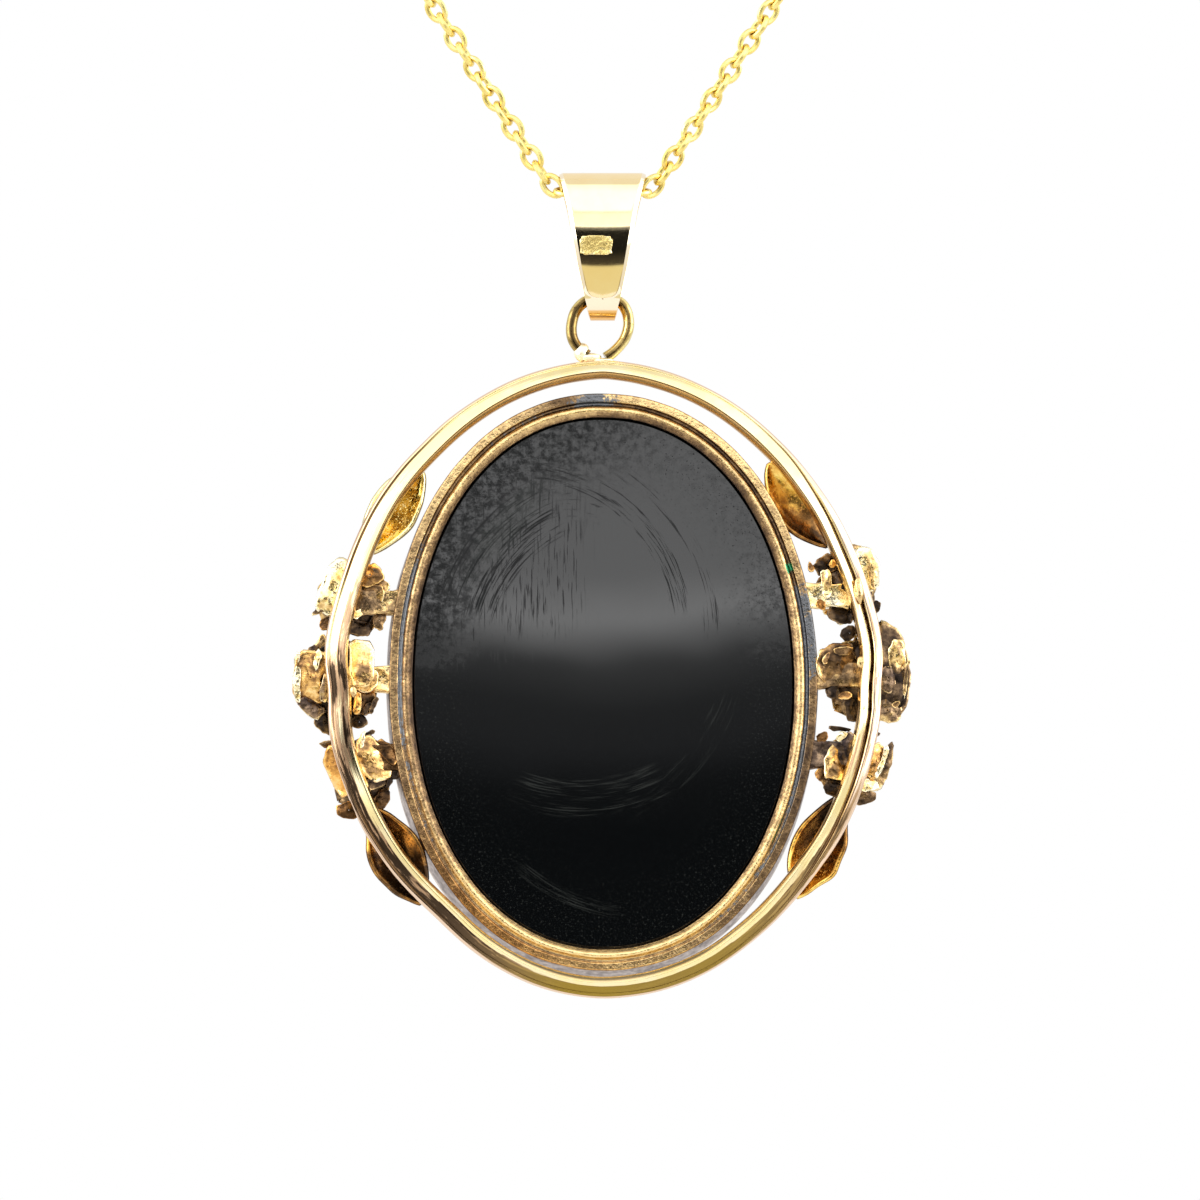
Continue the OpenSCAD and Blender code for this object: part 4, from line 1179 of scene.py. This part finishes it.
def rose(name, row, seed):
    """A rose of sheet gold: uneven back plates, rings of front petals and a rolled bud, on a dark lump that
    paints the shade between the plates.
    """
    x, z, width, height, turn, _ = row
    draw = random.Random(seed)
    size = np.array([width / 2, 1, height / 2])
    middle = np.array([x, ROSE_BACK, z])
    plates = BACK_PLATES[name]
    piece = Piece(name)
    for plate in plates:
        behind, tone, warm = plate[-3:]
        points, wear = back_plate(plate, draw)
        # painted shade: plates are darker where nearer plates lie over them
        nearer = [covered(points[..., 0], points[..., 2], other) for other in plates if other[-3] < behind]
        shade = np.max(nearer, axis=0) if nearer else 0
        piece.loft(oval_placed(points), wear=wear, tone=tone + 0.3 * shade, warm=warm)
    for ring, (count, *form) in enumerate(PETAL_RINGS):
        for number in range(count):
            angle = math.radians(turn + (number + 0.5 * (ring % 2)) * 360 / count + draw.uniform(-10, 10))
            points, wear = petal(angle, *form, draw)
            piece.loft(oval_placed(points * size + middle), wrap_sides=False, wear=wear,
                       tone=draw.uniform(0.45, 0.85))
    points, wear = bud()
    piece.loft(oval_placed(points * size + middle), wrap_sides=False, wear=wear, tone=0.4)
    piece.finish(ROSE_GOLD, *SETTING, thickness=0.15)
    # painted shade: a dark lump behind the plates shows dark through the gaps between them
    base = Piece(name + "_shade_fill")
    lump = blob(middle + (0, 0.95, 0), (width * 0.33, 0.55, height * 0.33), seed * 3.1, 0.2)
    base.loft(oval_placed(lump), caps=True, tone=0.85)
    base.finish(ROSE_GOLD, *SETTING, crease=70)


# Tone and warmth of each tab
TABS = {
    "tab_left_top": (0.52, -0.2), "tab_left_middle": (0.32, 0.4), "tab_left_bottom": (0.62, 0.5),
    "tab_right_top": (0.22, 0.1), "tab_right_middle": (0.48, 0.1), "tab_right_bottom": (0.74, -0.5),
}
# Section of a tab, up and deep from its middle, and how far the tab reaches under the bezel
TAB_SECTION = [
    (-0.8, -0.3), (-0.5, -0.38), (0.5, -0.38), (0.8, -0.3),
    (0.8, 0.3), (0.5, 0.38), (-0.5, 0.38), (-0.8, 0.3),
]
TAB_OVERLAP = 0.35


def tab(name, row, seed):
    """Pitted plate that joins a rose to the bezel."""
    x, _, _, _, _, z = row
    tone, warm = TABS[name]
    side = math.copysign(1, x)
    inner = BEZEL_W / 2 * math.sqrt(1 - (2 * z / BEZEL_H) ** 2) - TAB_OVERLAP
    share = np.linspace(0, 1, 20)[:, None]
    up, depth = smooth_loop(TAB_SECTION, 24).T
    flared = z + up * (1 + 0.25 * (2 * share - 1) ** 4)
    across = np.broadcast_to(side * (inner + share * (abs(x) - inner)), flared.shape)
    rows = at_depth(np.stack([across, flared], -1), BEZEL_BACK + 0.5 + depth)
    rows = rough(rough(rows, 0.9, 0.14, seed), 2.6, 0.07, seed)
    piece = Piece(name)
    piece.loft(oval_placed(rows), caps=True, tone=tone, warm=warm)
    piece.finish(ROSE_GOLD, *SETTING, crease=60)


def leaf(name, row):
    """Thin pointed leaf, hollow to the back, with a paler rim."""
    inner = np.array(row[0:2], float)
    outer = np.array(row[2:4], float)
    width, inner_tone, outer_tone = row[4:]
    length = np.linalg.norm(outer - inner)
    way = (outer - inner) / length
    side_way = np.array([-way[1], way[0]])
    shares = np.linspace(0, 1, 33)[:, None]
    sides = np.linspace(-1, 1, 17)[None, :]
    half = width / 2 * np.maximum(0.02, np.sin(math.pi * shares ** 0.9)) ** 0.85
    hollow = 0.75 * (1 - sides ** 2) * np.sin(math.pi * shares) ** 0.7
    flat = inner + way * length * shares[..., None] + side_way * (half * sides)[..., None]
    rows = rough(at_depth(flat, LEAF_BACK + 0.3 + hollow), 0.7, 0.12, row[0])
    tone = inner_tone + (outer_tone - inner_tone) * np.clip(1.6 * shares - 0.3, 0, 1)
    piece = Piece(name)
    piece.loft(oval_placed(rows), wrap_sides=False, wear=0.5 * np.abs(sides) ** 18, tone=tone)
    piece.finish(LEAF_GOLD, *SETTING, thickness=0.24, crease=70)


def grey(level):
    return (level, level, level)


# Light of the studio by the upward share of a direction, as shares of its brightest: on the lens's side,
# where a dark gap gives the polished parts something to show, and beside the pendant
FRONT_BANDS = [
    (-1, (0.46, 0.44, 0.4)), (-0.37, (0.46, 0.44, 0.38)), (-0.34, (0.34, 0.31, 0.2)),
    (-0.13, (0.34, 0.31, 0.19)), (-0.115, (0.03, 0.026, 0.02)), (0, grey(0.005)), (0.162, grey(0.006)),
    (0.167, grey(0.03)), (0.171, (0.058, 0.058, 0.06)), (0.182, grey(0.07)), (0.186, grey(0.1)),
    (0.189, grey(0.2)), (0.191, grey(0.6)), (0.193, grey(0.98)), (0.1975, grey(0.76)), (0.202, grey(0.58)),
    (0.295, grey(0.54)), (0.301, (0.4, 0.4, 0.38)), (0.309, (0.4, 0.4, 0.38)), (0.318, grey(0.8)),
    (0.86, grey(0.8)), (0.9, (0.37, 0.36, 0.34)), (1, (0.37, 0.36, 0.34)),
]
SIDE_BANDS = [
    (-1, (0.4, 0.38, 0.34)), (-0.25, (0.36, 0.34, 0.3)), (-0.1, (0.4, 0.39, 0.37)), (0.05, grey(0.78)),
    (0.5, grey(0.75)), (0.86, grey(0.6)), (0.9, (0.37, 0.36, 0.34)), (1, (0.37, 0.36, 0.34)),
]
BACKDROP = (0.38, 0.37, 0.36)
# Where the lens's side and the backdrop take over, by the share of a direction away from the lens
FRONT_CONE = (-0.88, -0.95)
BACK_CONE = (0.05, 0.3)
STUDIO_BRIGHTNESS = 2.5
FLOOR_R = 0.36
FLOOR_Z = -0.3
# Soft boxes: place in metres, width, radiance
SOFT_BOXES = {
    "left_light": ((-0.5, -0.3, 0.0), 0.4, 2.6),
    "right_light": ((0.52, -0.26, -0.02), 0.4, 2.4),
}


def floor():
    bpy.ops.mesh.primitive_circle_add(vertices=96, radius=FLOOR_R, fill_type="NGON",
                                      location=(0, 0, FLOOR_Z))
    disc = bpy.context.object
    disc.name = "floor"
    disc.data.materials.append(pale_floor("pale_floor"))


def soft_boxes():
    aim = Vector((0, 0, RING_WIRE_Z * MM - 0.02))
    for name, (place, size, brightness) in SOFT_BOXES.items():
        data = bpy.data.lights.new(name, "AREA")
        data.size = size
        data.energy = brightness * math.pi * size ** 2
        lamp = bpy.data.objects.new(name, data)
        lamp.location = place
        lamp.rotation_euler = (aim - lamp.location).to_track_quat("-Z", "Y").to_euler()
        bpy.context.scene.collection.objects.link(lamp)


def studio():
    """A tent of light with a dark gap in front; the lens itself sees white behind the part."""
    scene = bpy.context.scene
    scene.view_settings.view_transform = "Standard"
    scene.world = bpy.data.worlds.new("studio")
    scene.world.use_nodes = True
    sky = Nodes(scene.world.node_tree)
    sky.tree.nodes.clear()
    _, depth, rise = sky.parts(sky.node("TexCoord", output="Generated"))
    height = sky.node("MapRange", {0: rise, 1: -1})

    def bands(stops):
        return sky.ramp(height, [((place + 1) / 2, colour) for place, colour in stops])

    light = bands(SIDE_BANDS)
    for cone, beyond in ((FRONT_CONE, bands(FRONT_BANDS)), (BACK_CONE, BACKDROP)):
        light = sky.blend(sky.fade(depth, *cone), light, beyond)
    around = sky.node("Background", {0: light, 1: STUDIO_BRIGHTNESS})
    behind = sky.node("Background", {0: grey(1)})
    seen = sky.node("LightPath", output="Is Camera Ray")
    sky.node("OutputWorld", {0: sky.node("MixShader", {0: seen, 1: around, 2: behind})})


# The photo's frame: width that it takes in at the pendant, its middle across and below the chain's line
PHOTO_WIDTH = 80.0
PHOTO_MIDDLE = (-0.17, -27.27)
SENSOR_WIDTH = 36.0
CAMERA_DISTANCE = 360.0
CAMERA_AZIMUTH = math.radians(-3)
CAMERA_ELEVATION = math.radians(-2.5)


def camera():
    data = bpy.data.cameras.new("camera")
    data.sensor_width = SENSOR_WIDTH
    data.lens = SENSOR_WIDTH * CAMERA_DISTANCE / PHOTO_WIDTH
    data.clip_end = 20.0
    data.clip_start = 0.01
    lens = bpy.data.objects.new("camera", data)
    bpy.context.scene.collection.objects.link(lens)
    target = Vector((PHOTO_MIDDLE[0], 0, CHAIN_LINE_Z + PHOTO_MIDDLE[1])) * MM
    back = Vector((math.sin(CAMERA_AZIMUTH) * math.cos(CAMERA_ELEVATION),
                   -math.cos(CAMERA_AZIMUTH) * math.cos(CAMERA_ELEVATION),
                   math.sin(CAMERA_ELEVATION)))
    lens.location = target + back * CAMERA_DISTANCE * MM
    lens.rotation_euler = (-back).to_track_quat("-Z", "Y").to_euler()
    bpy.context.scene.camera = lens


ROSE_GOLD = aged_gold("rose_old_gold", [
    (0.0, (1.0, 0.90, 0.66)), (0.18, (0.98, 0.80, 0.42)), (0.32, (0.80, 0.55, 0.22)),
    (0.48, (0.36, 0.23, 0.11)), (0.62, (0.18, 0.115, 0.06)), (0.8, (0.075, 0.048, 0.028)),
    (1.0, (0.025, 0.018, 0.014)),
], spread=0.9, grain=0.7, matt=(0.16, 0.3), fineness=0.9, pits=0.05)
LEAF_GOLD = aged_gold("leaf_amber_gold", [
    (0.0, (1.0, 0.88, 0.46)), (0.2, (1.0, 0.74, 0.22)), (0.42, (0.78, 0.44, 0.09)),
    (0.6, (0.33, 0.16, 0.045)), (0.8, (0.06, 0.035, 0.02)),
], spread=0.55, grain=0.5, matt=(0.12, 0.28), fineness=0.7, pits=0.03)
BEZEL_GOLD = aged_gold("bezel_old_gold", [
    (0.0, (0.97, 0.76, 0.38)), (0.22, (0.88, 0.64, 0.30)), (0.42, (0.56, 0.38, 0.18)),
    (0.58, (0.24, 0.15, 0.075)), (0.8, (0.07, 0.045, 0.03)),
], spread=0.4, grain=0.45, film=(0.15, 0.155, 0.165), matt=(0.14, 0.3), fineness=2.0)

camera()
floor()
soft_boxes()
studio()
trace_chain()
clasp_ring()
bail()
bail_field()
hanging_ring()
ring_solder()
outer_band()
band_solder()
bezel()
bezel_box()
stone()
for number, (name, row) in enumerate(ROSES.items()):
    rose(name, row, number + 3)
    tab(name.replace("rose", "tab"), row, number + 0.5)
for name, row in LEAVES.items():
    leaf(name, row)
